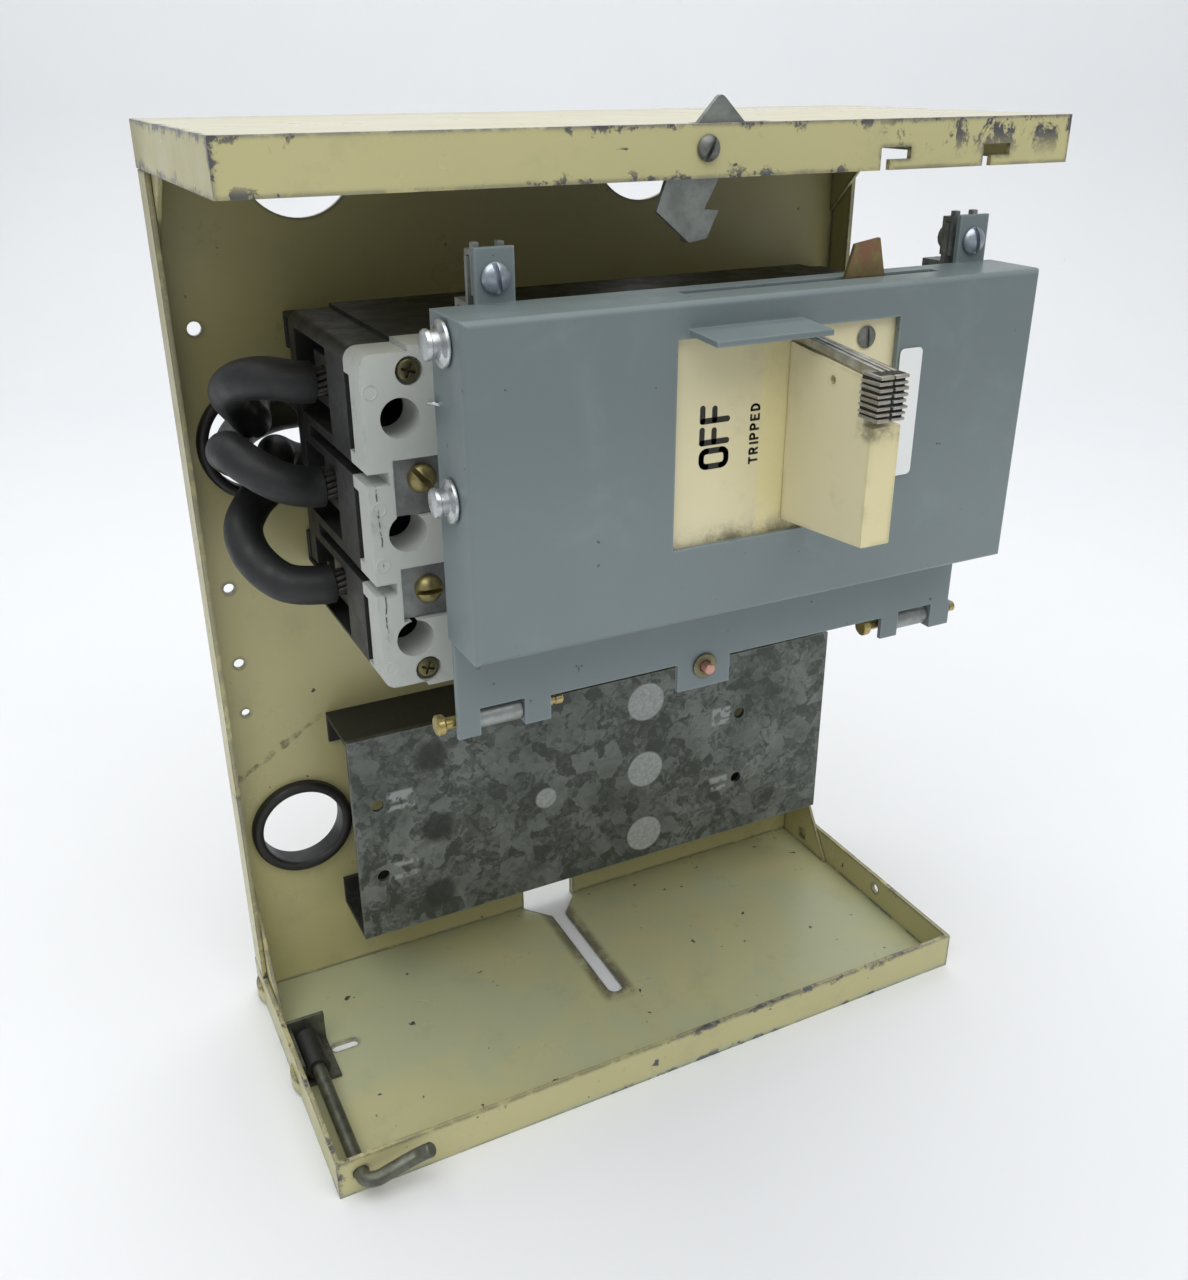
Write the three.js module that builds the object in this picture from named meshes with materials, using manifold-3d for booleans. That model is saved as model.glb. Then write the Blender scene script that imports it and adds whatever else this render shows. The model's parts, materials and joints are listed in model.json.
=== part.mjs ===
// Plug-in feeder unit of a motor control centre: an open sheet-steel subpanel
// with a three-pole breaker on its side, a hinged operator cover and its latches.
//
// Millimetres, +Z up. Inside the unit group, X runs left to right, Y runs from
// the front lip to the back and Z runs up from the underside. The group is then
// moved so that the origin is the bottom centre of the whole object's box.

import * as THREE from 'three';
import { mergeVertices } from 'three/addons/utils/BufferGeometryUtils.js';
import Module from 'manifold-3d';

// ---------- driving dimensions ----------

const GAP = 0.3; // between pieces that touch
const SHEET = 1.9; // 14 gauge steel

const WIDTH = 302;
const HEIGHT = 381;
const PAN_DEPTH = 134.1; // front lip to the back pan's rear face
const SHELL_DEPTH = PAN_DEPTH + GAP + SHEET; // with the weld flanges behind it
const TOP_LIP = 15.9;
const BOTTOM_LIP = 17.6;
const SIDE_FLANGE = 14.5;
const TOP_WELD = 10;
const BOTTOM_WELD = 15;
const MID_X = 150; // latch, keyhole slot and breaker sit about this line

const LIP_BOSS = 2; // lens-shaped bosses outside the left lip
const HASP_FRONT = -76; // furthest point in front of the lip
const STAB_REAR = 176; // furthest point behind it

const CABLE_HOLE = { x: 29.5, z: 263.8, r: 21.6, open: 19, rim: 23.5, front: 3.2, rear: 2.2 };
const SPARE_HOLE = { x: 28.5, z: 86, r: 20.2, open: 17.8, rim: 22.5, front: 4.5, rear: 4 };

const CHANNEL = { x: [44.4, 292.5], y: 100, lip: 14, sheet: 2 };
const LOWER_CHANNEL_Z = [37.5, 139.4];
const UPPER_CHANNEL_Z = [211, 313];

const BREAKER_X = [38.7, 275.3];
const BREAKER_Z = [204.4, 320];
const BREAKER_REAR = CHANNEL.y - GAP;
const BREAKER_SPLIT = 31; // base to cover
const TERMINAL_FACE = 14;
const BREAKER_FACE = 1;
const POLE_Z = [298, 260.4, 222.8]; // top, middle, bottom pole
const BAY = 36; // length of the terminal bays
const LUG_HOLE_X = 12; // from the breaker's end to the lug screws
const LUG_HOLE_R = 6.5;

const COVER_X = [55.5, 267];
const COVER_Z = [229.5, 334];
const COVER_FRONT = -30;
const COVER_REAR = -5;
const WINDOW_X = [124, 207.5];
const WINDOW_Z = [256, 323];
const HINGE = { y: -1.8, z: 197, pin: 2.1, bore: 2.4, barrel: 4 };
const SKIRT_Z = 201.5; // skirt's bottom edge between the hinges
const SKIRT_FOOT = 192.5; // and beside the knuckles

const TRAVEL = 40; // of the operating slide, off to on
const TOGGLE = { x: 156.5, y: 28, tip: 46, width: 8, height: 18 };
const TOGGLE_LEAN = Math.asin(TRAVEL / 2 / TOGGLE.tip);
const PLATE_Y = [-27.4, -24.9];
const FIN_X = [166.4, 177.2];

const CABLE_R = 7.4; // over the jacket
const CONDUCTOR_R = 5.4;
const CABLE_STEPS = 30;

const FINISH = {
  paint: { color: 0xd3c795, roughness: 0.55, metalness: 0.1 },
  gray: { color: 0x6f7a7d, roughness: 0.5, metalness: 0.1 },
  galvanised: { color: 0x7d7f78, roughness: 0.6, metalness: 0.7 },
  zinc: { color: 0x9aa0a0, roughness: 0.45, metalness: 0.8 },
  yellow: { color: 0xa98e4c, roughness: 0.4, metalness: 0.8 },
  brass: { color: 0xb99a4a, roughness: 0.35, metalness: 0.9 },
  steel: { color: 0x77777a, roughness: 0.5, metalness: 0.8 },
  black: { color: 0x1c1c1d, roughness: 0.6, metalness: 0 },
  breakerGray: { color: 0xb6b6ad, roughness: 0.6, metalness: 0 },
  ivory: { color: 0xe6dcae, roughness: 0.45, metalness: 0 },
  rubber: { color: 0x161616, roughness: 0.7, metalness: 0 },
  copper: { color: 0xb07a52, roughness: 0.4, metalness: 0.9 },
  label: { color: 0xf2f2f0, roughness: 0.5, metalness: 0 },
};

// ---------- solids ----------

const wasm = await Module();
wasm.setup();

function toSolid(geometry) {
  const bare = geometry.clone();
  bare.deleteAttribute('normal');
  bare.deleteAttribute('uv');
  const merged = mergeVertices(bare, 1e-4);
  return new wasm.Manifold(
    new wasm.Mesh({
      numProp: 3,
      vertProperties: Float32Array.from(merged.attributes.position.array),
      triVerts: Uint32Array.from(merged.index.array),
    }),
  );
}

function toGeometry(solid) {
  const mesh = solid.getMesh();
  const geometry = new THREE.BufferGeometry();
  geometry.setAttribute('position', new THREE.BufferAttribute(mesh.vertProperties, 3));
  geometry.setIndex(new THREE.BufferAttribute(mesh.triVerts, 1));
  const faceted = geometry.toNonIndexed();
  faceted.computeVertexNormals();
  return faceted;
}

function join(...pieces) {
  return toGeometry(pieces.map(toSolid).reduce((whole, piece) => whole.add(piece)));
}

function cut(body, ...tools) {
  return toGeometry(tools.map(toSolid).reduce((rest, tool) => rest.subtract(tool), toSolid(body)));
}

function block([x0, x1], [y0, y1], [z0, z1]) {
  const box = new THREE.BoxGeometry(x1 - x0, y1 - y0, z1 - z0);
  return box.translate((x0 + x1) / 2, (y0 + y1) / 2, (z0 + z1) / 2);
}

function inset([a, b], by) {
  return [a + by, b - by];
}

function polygon(points) {
  return new THREE.Shape(points.map(([u, v]) => new THREE.Vector2(u, v)));
}

function roundedRect([u0, u1], [v0, v1], r) {
  const shape = new THREE.Shape();
  shape.absarc(u1 - r, v1 - r, r, 0, Math.PI / 2);
  shape.absarc(u0 + r, v1 - r, r, Math.PI / 2, Math.PI);
  shape.absarc(u0 + r, v0 + r, r, Math.PI, 1.5 * Math.PI);
  shape.absarc(u1 - r, v0 + r, r, 1.5 * Math.PI, 2 * Math.PI);
  shape.closePath();
  return shape;
}

function extrude(shape, depth, segments = 5) {
  return new THREE.ExtrudeGeometry(shape, { depth, bevelEnabled: false, curveSegments: segments });
}

// Outline in X and Y, thickness along Z.
function plateZ(shape, [z0, z1], segments) {
  return extrude(shape, z1 - z0, segments).translate(0, 0, z0);
}

// Outline in X and Z, thickness along Y.
function plateY(shape, [y0, y1], segments) {
  return extrude(shape, y1 - y0, segments).rotateX(Math.PI / 2).translate(0, y1, 0);
}

// Outline in Y and Z, thickness along X.
function plateX(shape, [x0, x1], segments) {
  const turn = new THREE.Matrix4().makeBasis(
    new THREE.Vector3(0, 1, 0),
    new THREE.Vector3(0, 0, 1),
    new THREE.Vector3(1, 0, 0),
  );
  return extrude(shape, x1 - x0, segments).applyMatrix4(turn).translate(x0, 0, 0);
}

function barX([x0, x1], y, z, r, sides = 24) {
  const bar = new THREE.CylinderGeometry(r, r, x1 - x0, sides);
  return bar.rotateZ(Math.PI / 2).translate((x0 + x1) / 2, y, z);
}

function barY(x, [y0, y1], z, r, sides = 24) {
  return new THREE.CylinderGeometry(r, r, y1 - y0, sides).translate(x, (y0 + y1) / 2, z);
}

function barZ(x, y, [z0, z1], r, sides = 24) {
  const bar = new THREE.CylinderGeometry(r, r, z1 - z0, sides);
  return bar.rotateX(Math.PI / 2).translate(x, y, (z0 + z1) / 2);
}

// Ring of revolution about a Y axis; the profile is radius and depth, closed.
function ringY(profile, x, z, sides = 32) {
  const points = profile.map(([r, y]) => new THREE.Vector2(r, y));
  points.push(points[0].clone());
  return new THREE.LatheGeometry(points, sides).translate(x, 0, z);
}

// Round bar or cable swept along a smooth curve through the points.
function sweep(points, r, steps, sides = 10) {
  const knots = points.map((p) => new THREE.Vector3(...p));
  const path = new THREE.CatmullRomCurve3(knots, false, 'centripetal');
  const section = new THREE.Shape();
  section.absarc(0, 0, r, 0, 2 * Math.PI);
  return new THREE.ExtrudeGeometry(section, { steps, extrudePath: path, curveSegments: sides });
}

// Domed screw head that faces -Y, with a slot, and its shank behind it.
function slottedScrew({ x, y, z, head, dome, shank, length, turn = 0 }) {
  const profile = [
    [0, 0],
    [head * 0.45, 0.08 * dome],
    [head * 0.85, 0.4 * dome],
    [head, dome],
    [shank, dome],
    [shank, dome + length],
    [0, dome + length],
  ];
  const turned = profile.map(([r, d]) => new THREE.Vector2(r, d)).reverse();
  const body = new THREE.LatheGeometry(turned, 16);
  const slot = block([-head * 1.1, head * 1.1], [-0.5, dome * 0.55], [-head * 0.12, head * 0.12]);
  const screw = cut(flipIfInside(body), slot);
  return screw.rotateY(turn).translate(x, y, z);
}

// LatheGeometry faces follow the profile's direction, so a solid with negative
// volume has its triangles turned over.
function flipIfInside(geometry) {
  const solid = geometry.index ? geometry.toNonIndexed() : geometry.clone();
  const p = solid.attributes.position;
  let volume = 0;
  for (let i = 0; i < p.count; i += 3) {
    const a = new THREE.Vector3().fromBufferAttribute(p, i);
    const b = new THREE.Vector3().fromBufferAttribute(p, i + 1);
    const c = new THREE.Vector3().fromBufferAttribute(p, i + 2);
    volume += a.dot(b.cross(c));
  }
  if (volume < 0) {
    for (let i = 0; i < p.count; i += 3) {
      const b = new THREE.Vector3().fromBufferAttribute(p, i + 1);
      const c = new THREE.Vector3().fromBufferAttribute(p, i + 2);
      p.setXYZ(i + 1, c.x, c.y, c.z);
      p.setXYZ(i + 2, b.x, b.y, b.z);
    }
  }
  return solid;
}

// ---------- the assembly ----------

const unit = new THREE.Group();
unit.position.set(-(WIDTH - LIP_BOSS) / 2, -(HASP_FRONT + STAB_REAR) / 2, 0);

function add(name, geometry, finish) {
  const mesh = new THREE.Mesh(geometry, new THREE.MeshStandardMaterial(FINISH[finish]));
  mesh.name = name;
  unit.add(mesh);
}

// ---------- shell ----------

const BACK_Y = [PAN_DEPTH - SHEET, PAN_DEPTH];
const WELD_Y = [PAN_DEPTH + GAP, SHELL_DEPTH];
const INNER_Z = [SHEET + GAP, HEIGHT - SHEET - GAP];
const SIDE_Z = [BOTTOM_LIP + GAP, HEIGHT - TOP_LIP - GAP];
const LEFT_WALL = [0, SHEET];
const RIGHT_WALL = [WIDTH - SHEET, WIDTH];
const KEYHOLE = { head: 14, headTop: 12, neckY: 119, slot: 3.75, endY: 54 };

function backPan() {
  const sheet = join(
    block([0, WIDTH], BACK_Y, SIDE_Z),
    block([SHEET + GAP, WIDTH - SHEET - GAP], BACK_Y, INNER_Z),
    block(LEFT_WALL, [PAN_DEPTH - SIDE_FLANGE, PAN_DEPTH], SIDE_Z),
    block(RIGHT_WALL, [PAN_DEPTH - SIDE_FLANGE, PAN_DEPTH], SIDE_Z),
  );
  const through = [BACK_Y[0] - 1, BACK_Y[1] + 1];
  const topHoles = [55.5, 200].map((x) => {
    const arch = new THREE.Shape();
    arch.absarc(x, 368, 22, Math.PI, 2 * Math.PI);
    arch.closePath();
    return plateY(arch, through, 14);
  });
  const smallHoles = [
    [11.4, 309, 2.7],
    [10.9, 204.6, 2.2],
    [10.8, 170.6, 2.2],
    [10.8, 147.3, 1.8],
  ].map(([x, z, r]) => barY(x, through, z, r, 12));
  return cut(
    sheet,
    ...topHoles,
    ...smallHoles,
    barY(CABLE_HOLE.x, through, CABLE_HOLE.z, CABLE_HOLE.r, 40),
    barY(SPARE_HOLE.x, through, SPARE_HOLE.z, SPARE_HOLE.r, 40),
    block([MID_X - KEYHOLE.head, MID_X + KEYHOLE.head], through, [0, KEYHOLE.headTop]),
  );
}

const LATCH = { x: 150.5, z: 373.9, y: [2.3, 4.1] };

// Inverted L slots in the front lip: the neck opens at the lip's lower edge.
function bayonetSlot(neckX, runTo) {
  const through = [-1, SHEET + 1];
  return [
    block([neckX, neckX + 3.8], through, [360, 372.2]),
    block([neckX, runTo], through, [368.4, 372.2]),
  ];
}

function topPan() {
  const lipZ = [HEIGHT - TOP_LIP, HEIGHT];
  const sheet = join(
    block([0, WIDTH], [0, SHELL_DEPTH], [HEIGHT - SHEET, HEIGHT]),
    block([0, WIDTH], [0, SHEET], lipZ),
    block(LEFT_WALL, [0, SHELL_DEPTH], lipZ),
    block(RIGHT_WALL, [0, SHELL_DEPTH], lipZ),
    block([0, WIDTH], WELD_Y, [HEIGHT - TOP_WELD, HEIGHT]),
  );
  return cut(
    sheet,
    block([147, 175], [SHEET, 6.5], [HEIGHT - 5, HEIGHT + 1]),
    barY(LATCH.x, [-1, SHEET + 1], LATCH.z, 2.3, 16),
    ...bayonetSlot(218, 230.4),
    ...bayonetSlot(262.4, 274.4),
  );
}

const ROD = { x: 9.2, z: 10, r: 3 };

function bottomPan() {
  const lipZ = [0, BOTTOM_LIP];
  const boss = new THREE.Shape();
  boss.moveTo(0.5, -8);
  boss.quadraticCurveTo(-2 * LIP_BOSS - 0.5, 0, 0.5, 8);
  const bosses = [65, 128].map((y) => plateZ(boss, [1.5, 7.5], 8).translate(0, y, 0));
  const sheet = join(
    block([0, WIDTH], [0, SHELL_DEPTH], [0, SHEET]),
    block([0, WIDTH], [0, SHEET], lipZ),
    block(LEFT_WALL, [0, SHELL_DEPTH], lipZ),
    block(RIGHT_WALL, [0, SHELL_DEPTH], lipZ),
    block([0, WIDTH], WELD_Y, [0, BOTTOM_WELD]),
    ...bosses,
  );
  const keyholeX = [MID_X - KEYHOLE.head, MID_X + KEYHOLE.head];
  const keyhole = new THREE.Shape();
  keyhole.moveTo(MID_X - KEYHOLE.head, 140);
  keyhole.lineTo(MID_X - KEYHOLE.head, 131);
  keyhole.lineTo(MID_X - KEYHOLE.slot, KEYHOLE.neckY);
  keyhole.absarc(MID_X, KEYHOLE.endY + KEYHOLE.slot, KEYHOLE.slot, Math.PI, 2 * Math.PI);
  keyhole.lineTo(MID_X + KEYHOLE.slot, KEYHOLE.neckY);
  keyhole.lineTo(MID_X + KEYHOLE.head, 131);
  keyhole.lineTo(MID_X + KEYHOLE.head, 140);
  return cut(
    sheet,
    plateZ(keyhole, [-1, SHEET + 1], 8),
    block(keyholeX, [WELD_Y[0] - 0.2, 140], [-1, KEYHOLE.headTop]),
    plateZ(roundedRect([19, 31], [75.5, 80.5], 2.4), [-1, SHEET + 1]),
    barX([WIDTH - 5, WIDTH + 1], 53.7, 10.5, 2.5, 16),
    barY(ROD.x, [-1, SHEET + 1], ROD.z, ROD.r + GAP, 20),
  );
}

function gusset(wallX, cornerZ, reachY, reachZ, holeY) {
  const back = BACK_Y[0] - GAP;
  const outline = polygon([
    [back, cornerZ],
    [back - reachY, cornerZ],
    [back, cornerZ + reachZ],
  ]);
  const plate = plateX(outline, wallX);
  if (!holeY) return plate;
  return cut(plate, block([wallX[0] - 1, wallX[1] + 1], [holeY - 2.5, holeY + 2.5], [6, 11]));
}

const GUSSET_LEFT = [SHEET + GAP, SHEET + GAP + 1.6];
const GUSSET_RIGHT = [WIDTH - SHEET - GAP - 1.6, WIDTH - SHEET - GAP];

add('back_pan', backPan(), 'paint');
add('top_pan', topPan(), 'paint');
add('bottom_pan', bottomPan(), 'paint');
add('gusset_top_left', gusset(GUSSET_LEFT, INNER_Z[1], 42, -42), 'paint');
add('gusset_top_right', gusset(GUSSET_RIGHT, INNER_Z[1], 42, -42), 'paint');
add('gusset_bottom_left', gusset(GUSSET_LEFT, INNER_Z[0], 38, 58), 'paint');
add('gusset_bottom_right', gusset(GUSSET_RIGHT, INNER_Z[0], 38, 58, 115), 'paint');

// ---------- grommets ----------

function grommet(hole) {
  const neck = hole.r - GAP;
  const front = BACK_Y[0] - GAP;
  const rear = BACK_Y[1] + GAP;
  return flipIfInside(
    ringY(
      [
        [hole.open, front - hole.front + 1.4],
        [hole.open + 1.4, front - hole.front],
        [hole.rim - 1.2, front - hole.front],
        [hole.rim, front - hole.front + 1.2],
        [hole.rim, front],
        [neck, front],
        [neck, rear],
        [hole.rim, rear],
        [hole.rim - 1, rear + hole.rear],
        [hole.open, rear + hole.rear],
      ],
      hole.x,
      hole.z,
    ),
  );
}

add('cable_grommet', grommet(CABLE_HOLE), 'rubber');
add('spare_grommet', grommet(SPARE_HOLE), 'rubber');

// ---------- channels ----------

function channel([z0, z1], holes) {
  const { x, y, lip, sheet } = CHANNEL;
  const rear = BACK_Y[0] - GAP;
  const body = join(
    block(x, [y, y + sheet], [z0, z1]),
    block(x, [y, rear], [z0, z0 + sheet]),
    block(x, [y, rear], [z1 - sheet, z1]),
    block(x, [rear - sheet, rear], [z0, z0 + lip]),
    block(x, [rear - sheet, rear], [z1 - lip, z1]),
  );
  return cut(body, ...holes.map(([hx, hz, r]) => barY(hx, [y - 1, y + sheet + 1], hz, r, 16)));
}

const CHANNEL_HOLES = [
  [55.5, 105.8, 3],
  [55.5, 69, 3],
  [241.5, 106, 3],
  [241.5, 68.8, 3],
];

add('mounting_channel', channel(LOWER_CHANNEL_Z, CHANNEL_HOLES), 'galvanised');
add('breaker_channel', channel(UPPER_CHANNEL_Z, []), 'galvanised');

// ---------- breaker ----------

const BREAKER_MID_X = (BREAKER_X[0] + BREAKER_X[1]) / 2;
const OUTER_WALL = 6; // above the top pole and below the bottom one
const BARRIER = 11; // wall between two poles
const GROOVE = { half: 2.1, depth: 7, rear: 84 };
const BAY_ARCH = { half: 12.5, front: 25.5 };
const END_WALL = { thick: 4, rear: 52 }; // closes the front of each terminal bay
const POLE_EDGES = [
  BREAKER_Z[1] - OUTER_WALL,
  (POLE_Z[0] + POLE_Z[1]) / 2,
  (POLE_Z[1] + POLE_Z[2]) / 2,
  BREAKER_Z[0] + OUTER_WALL,
];

// Both ends of the breaker are alike, so features are given at the left end and
// mirrored to the right.
function mirrorX([x0, x1]) {
  return [2 * BREAKER_MID_X - x1, 2 * BREAKER_MID_X - x0];
}

function bothEnds(x, make) {
  return [make(x), make(mirrorX(x))];
}

const END_STRIP = { length: 15.5, drop: 1.6, corner: 4.5 };

// Body with its full height in the middle and lower, rounded terminal ends.
function breakerBlock(y) {
  const ends = roundedRect(BREAKER_X, inset(BREAKER_Z, END_STRIP.drop), END_STRIP.corner);
  const middle = block(inset(BREAKER_X, END_STRIP.length), y, BREAKER_Z);
  return join(plateY(ends, y, 3), middle);
}

// Slot at each end, between the poles, for a barrier plate.
function barrierGrooves(y) {
  const slots = [];
  for (const z of [POLE_EDGES[1], POLE_EDGES[2]]) {
    for (const x of bothEnds([BREAKER_X[0] - 1, BREAKER_X[0] + GROOVE.depth], (span) => span)) {
      slots.push(block(x, y, [z - GROOVE.half, z + GROOVE.half]));
    }
  }
  return slots;
}

function breakerBase() {
  const body = breakerBlock([BREAKER_SPLIT, BREAKER_REAR]);
  const bays = POLE_Z.flatMap((_, i) => {
    const top = POLE_EDGES[i] - (i === 0 ? 0 : BARRIER / 2);
    const bottom = POLE_EDGES[i + 1] + (i === 2 ? 0 : BARRIER / 2);
    const z = [bottom, top];
    const inner = BREAKER_X[0] + BAY;
    const front = [BREAKER_SPLIT - 1, END_WALL.rear + 1];
    const rear = [END_WALL.rear, BREAKER_REAR - 8];
    return [
      ...bothEnds([BREAKER_X[0] + END_WALL.thick, inner], (x) => block(x, front, z)),
      ...bothEnds([BREAKER_X[0] - 1, inner], (x) => block(x, rear, z)),
    ];
  });
  // The bays' rear walls are cut back beside the end, so a cable can turn in.
  const reliefs = POLE_Z.flatMap((z) => {
    const inside = [BREAKER_X[0] - 1, BREAKER_X[0] + 10];
    return bothEnds(inside, (x) => block(x, [BREAKER_REAR - 9, BREAKER_REAR + 1], [z - 8, z + 2]));
  });
  return cut(
    body,
    ...bays,
    ...reliefs,
    ...barrierGrooves([BREAKER_SPLIT - 1, GROOVE.rear]),
    block([TOGGLE.x - 32, TOGGLE.x + 32], [BREAKER_SPLIT - 1, 54], [POLE_Z[1] - 14, POLE_Z[1] + 14]),
  );
}

const FOOT = {
  x: [47.5, 62.5],
  riserX: [62.6, 64.5],
  y: [16.6, 18.5],
  z: [
    [265.5, 284.5],
    [229.5, 248],
  ],
};
const MOUNT_SCREW = { x: 57, z: [277.4, 239] };
const COVER_SCREW = { x: 54.6, z: [312.3, 210.6] };

function breakerCover() {
  const end = BREAKER_X[0];
  const body = join(
    breakerBlock([TERMINAL_FACE, BREAKER_SPLIT - GAP]),
    block([66, 2 * BREAKER_MID_X - 66], [BREAKER_FACE, TERMINAL_FACE + 1], BREAKER_Z),
  );
  const arches = POLE_Z.flatMap((z) =>
    bothEnds([end - 1, end + 9], (x) =>
      block(x, [BAY_ARCH.front, BREAKER_SPLIT + 1], [z - BAY_ARCH.half, z + BAY_ARCH.half]),
    ),
  );
  const through = [0, BREAKER_SPLIT + 1];
  const lugHoles = POLE_Z.flatMap((z) =>
    bothEnds([end + LUG_HOLE_X, end + LUG_HOLE_X], ([x]) => barY(x, through, z, LUG_HOLE_R, 28)),
  );
  const footPockets = FOOT.z.flatMap(([z0, z1]) =>
    bothEnds([FOOT.x[0] - GAP, 67], (x) => block(x, [0, FOOT.y[1] + GAP], [z0 - GAP, z1 + GAP])),
  );
  const screwPockets = COVER_SCREW.z.flatMap((z) =>
    bothEnds([COVER_SCREW.x, COVER_SCREW.x], ([x]) => barY(x, [0, TERMINAL_FACE + 3], z, 4.6, 20)),
  );
  const shankHoles = MOUNT_SCREW.z.flatMap((z) =>
    bothEnds([MOUNT_SCREW.x, MOUNT_SCREW.x], ([x]) => barY(x, through, z, 2.8, 16)),
  );
  return cut(
    body,
    ...lugHoles,
    ...arches,
    ...barrierGrooves(through),
    ...footPockets,
    ...screwPockets,
    ...shankHoles,
    block([TOGGLE.x - 28, TOGGLE.x + 28], through, [POLE_Z[1] - 12, POLE_Z[1] + 12]),
  );
}

// The toggle leans to the right in the off position.
function toggle() {
  const lever = plateZ(
    polygon([
      [-6, -4],
      [6, -4],
      [TOGGLE.width / 2, -(TOGGLE.tip - 1)],
      [TOGGLE.width / 2 - 1, -TOGGLE.tip],
      [-TOGGLE.width / 2 + 1, -TOGGLE.tip],
      [-TOGGLE.width / 2, -(TOGGLE.tip - 1)],
    ]),
    [-TOGGLE.height / 2, TOGGLE.height / 2],
  );
  const hub = barZ(0, 0, [-TOGGLE.height / 2, TOGGLE.height / 2], 9, 28);
  const body = join(lever, hub);
  return body.rotateZ(TOGGLE_LEAN).translate(TOGGLE.x, TOGGLE.y, POLE_Z[1]);
}

function lineLug(z) {
  const x = [BREAKER_X[0] + 5, BREAKER_X[0] + 21];
  return cut(
    block(x, [64, 86], [z - 9, z + 9]),
    barX([x[0] - 1, x[1] - 5], 75, z, CONDUCTOR_R, 20),
    barY(BREAKER_X[0] + LUG_HOLE_X, [60, 72], z, 4.5, 20),
  );
}

function phillipsScrew(z) {
  const { x } = COVER_SCREW;
  const head = barY(x, [TERMINAL_FACE + 0.4, TERMINAL_FACE + 2.7], z, 3.9, 20);
  const arm = 2.4;
  const half = 0.5;
  const depth = [TERMINAL_FACE, TERMINAL_FACE + 1.7];
  return cut(
    head,
    block([x - arm, x + arm], depth, [z - half, z + half]),
    block([x - half, x + half], depth, [z - arm, z + arm]),
  );
}

add('breaker_base', breakerBase(), 'black');
add('breaker_cover', breakerCover(), 'breakerGray');
add('breaker_toggle', toggle(), 'black');
['top', 'middle', 'bottom'].forEach((pole, i) => add(`line_lug_${pole}`, lineLug(POLE_Z[i]), 'zinc'));
['upper', 'lower'].forEach((level, i) => {
  add(`breaker_cover_screw_${level}`, phillipsScrew(COVER_SCREW.z[i]), 'brass');
  add(
    `breaker_mount_screw_${level}`,
    slottedScrew({
      x: MOUNT_SCREW.x,
      y: FOOT.y[0] - GAP - 4,
      z: MOUNT_SCREW.z[i],
      head: 5,
      dome: 4,
      shank: 2.4,
      length: 13.5,
      turn: i === 0 ? 0.9 : 0.1,
    }),
    'brass',
  );
});

// ---------- line cables ----------

// Each runs from its lug, loops out past the breaker's end, back through the
// cable hole and across behind the pan to the stab housing.
const CABLE_ROUTES = {
  top: [
    [42.8, 75, 298],
    [35, 75, 298.4],
    [24.5, 78, 300.4],
    [17.5, 88, 298],
    [15.5, 102, 291.5],
    [20.8, 117, 282.5],
    [26.6, 126, 275],
    [29.2, 135, 272.2],
    [31, 145, 274.6],
    [37, 155, 281.5],
    [49, 160, 287],
    [65, 161, 290.5],
    [84, 160, 292],
    [99.4, 160, 292],
  ],
  middle: [
    [42.8, 75, 260.4],
    [35, 75, 260.6],
    [24, 74.5, 264.5],
    [15.5, 79, 270],
    [11.5, 91, 272.5],
    [12.5, 106, 268.3],
    [17, 120, 262],
    [20.6, 133, 258.5],
    [22.2, 146, 259.5],
    [29, 157, 263],
    [42, 162, 266],
    [60, 161, 267],
    [84, 160, 266],
    [99.4, 160, 266],
  ],
  bottom: [
    [42.8, 75, 222.8],
    [35, 75, 222.8],
    [22.5, 78.5, 225],
    [14.5, 88, 232.5],
    [13.8, 99, 240],
    [20.5, 111, 245.5],
    [31, 122, 250.4],
    [36, 133, 256.8],
    [38.6, 143, 255.2],
    [46, 151, 249.5],
    [60, 155, 244],
    [84, 160, 240],
    [99.4, 160, 240],
  ],
};

for (const [pole, route] of Object.entries(CABLE_ROUTES)) {
  add(`line_cable_${pole}`, sweep(route, CABLE_R, CABLE_STEPS, 5), 'rubber');
}

// ---------- plug-in stabs behind the pan ----------

const STAB = { x: [100, 200], y: [PAN_DEPTH + GAP, STAB_REAR], z: [226, 306], pocketY: 150 };
const STAB_X = [118, 150, 182];

function stabHousing() {
  const slots = STAB_X.map((x) =>
    block([x - 9, x + 9], [STAB.pocketY, STAB_REAR + 1], [STAB.z[0] - 1, STAB.z[1] + 1]),
  );
  return cut(block(STAB.x, STAB.y, STAB.z), ...slots);
}

function stabJaw(x) {
  const y = [STAB.pocketY + GAP, STAB_REAR - 1.5];
  const z = [246, 286];
  return join(
    block([x - 6.5, x + 6.5], [y[0], y[0] + 3], z),
    block([x - 6.5, x - 4], y, z),
    block([x + 4, x + 6.5], y, z),
  );
}

add('stab_housing', stabHousing(), 'black');
['left', 'centre', 'right'].forEach((side, i) => add(`stab_jaw_${side}`, stabJaw(STAB_X[i]), 'copper'));

// ---------- operator base on the breaker's front ----------

const ARM_X = [
  [69, 81.5],
  [249, 261.5],
];
const BASE_Y = [BREAKER_FACE - GAP - SHEET, BREAKER_FACE - GAP];
const EAR_SCREW_Z = 341.5;
const KNUCKLE_X = [
  [64.9, 80.6],
  [241.4, 257.1],
];

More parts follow.
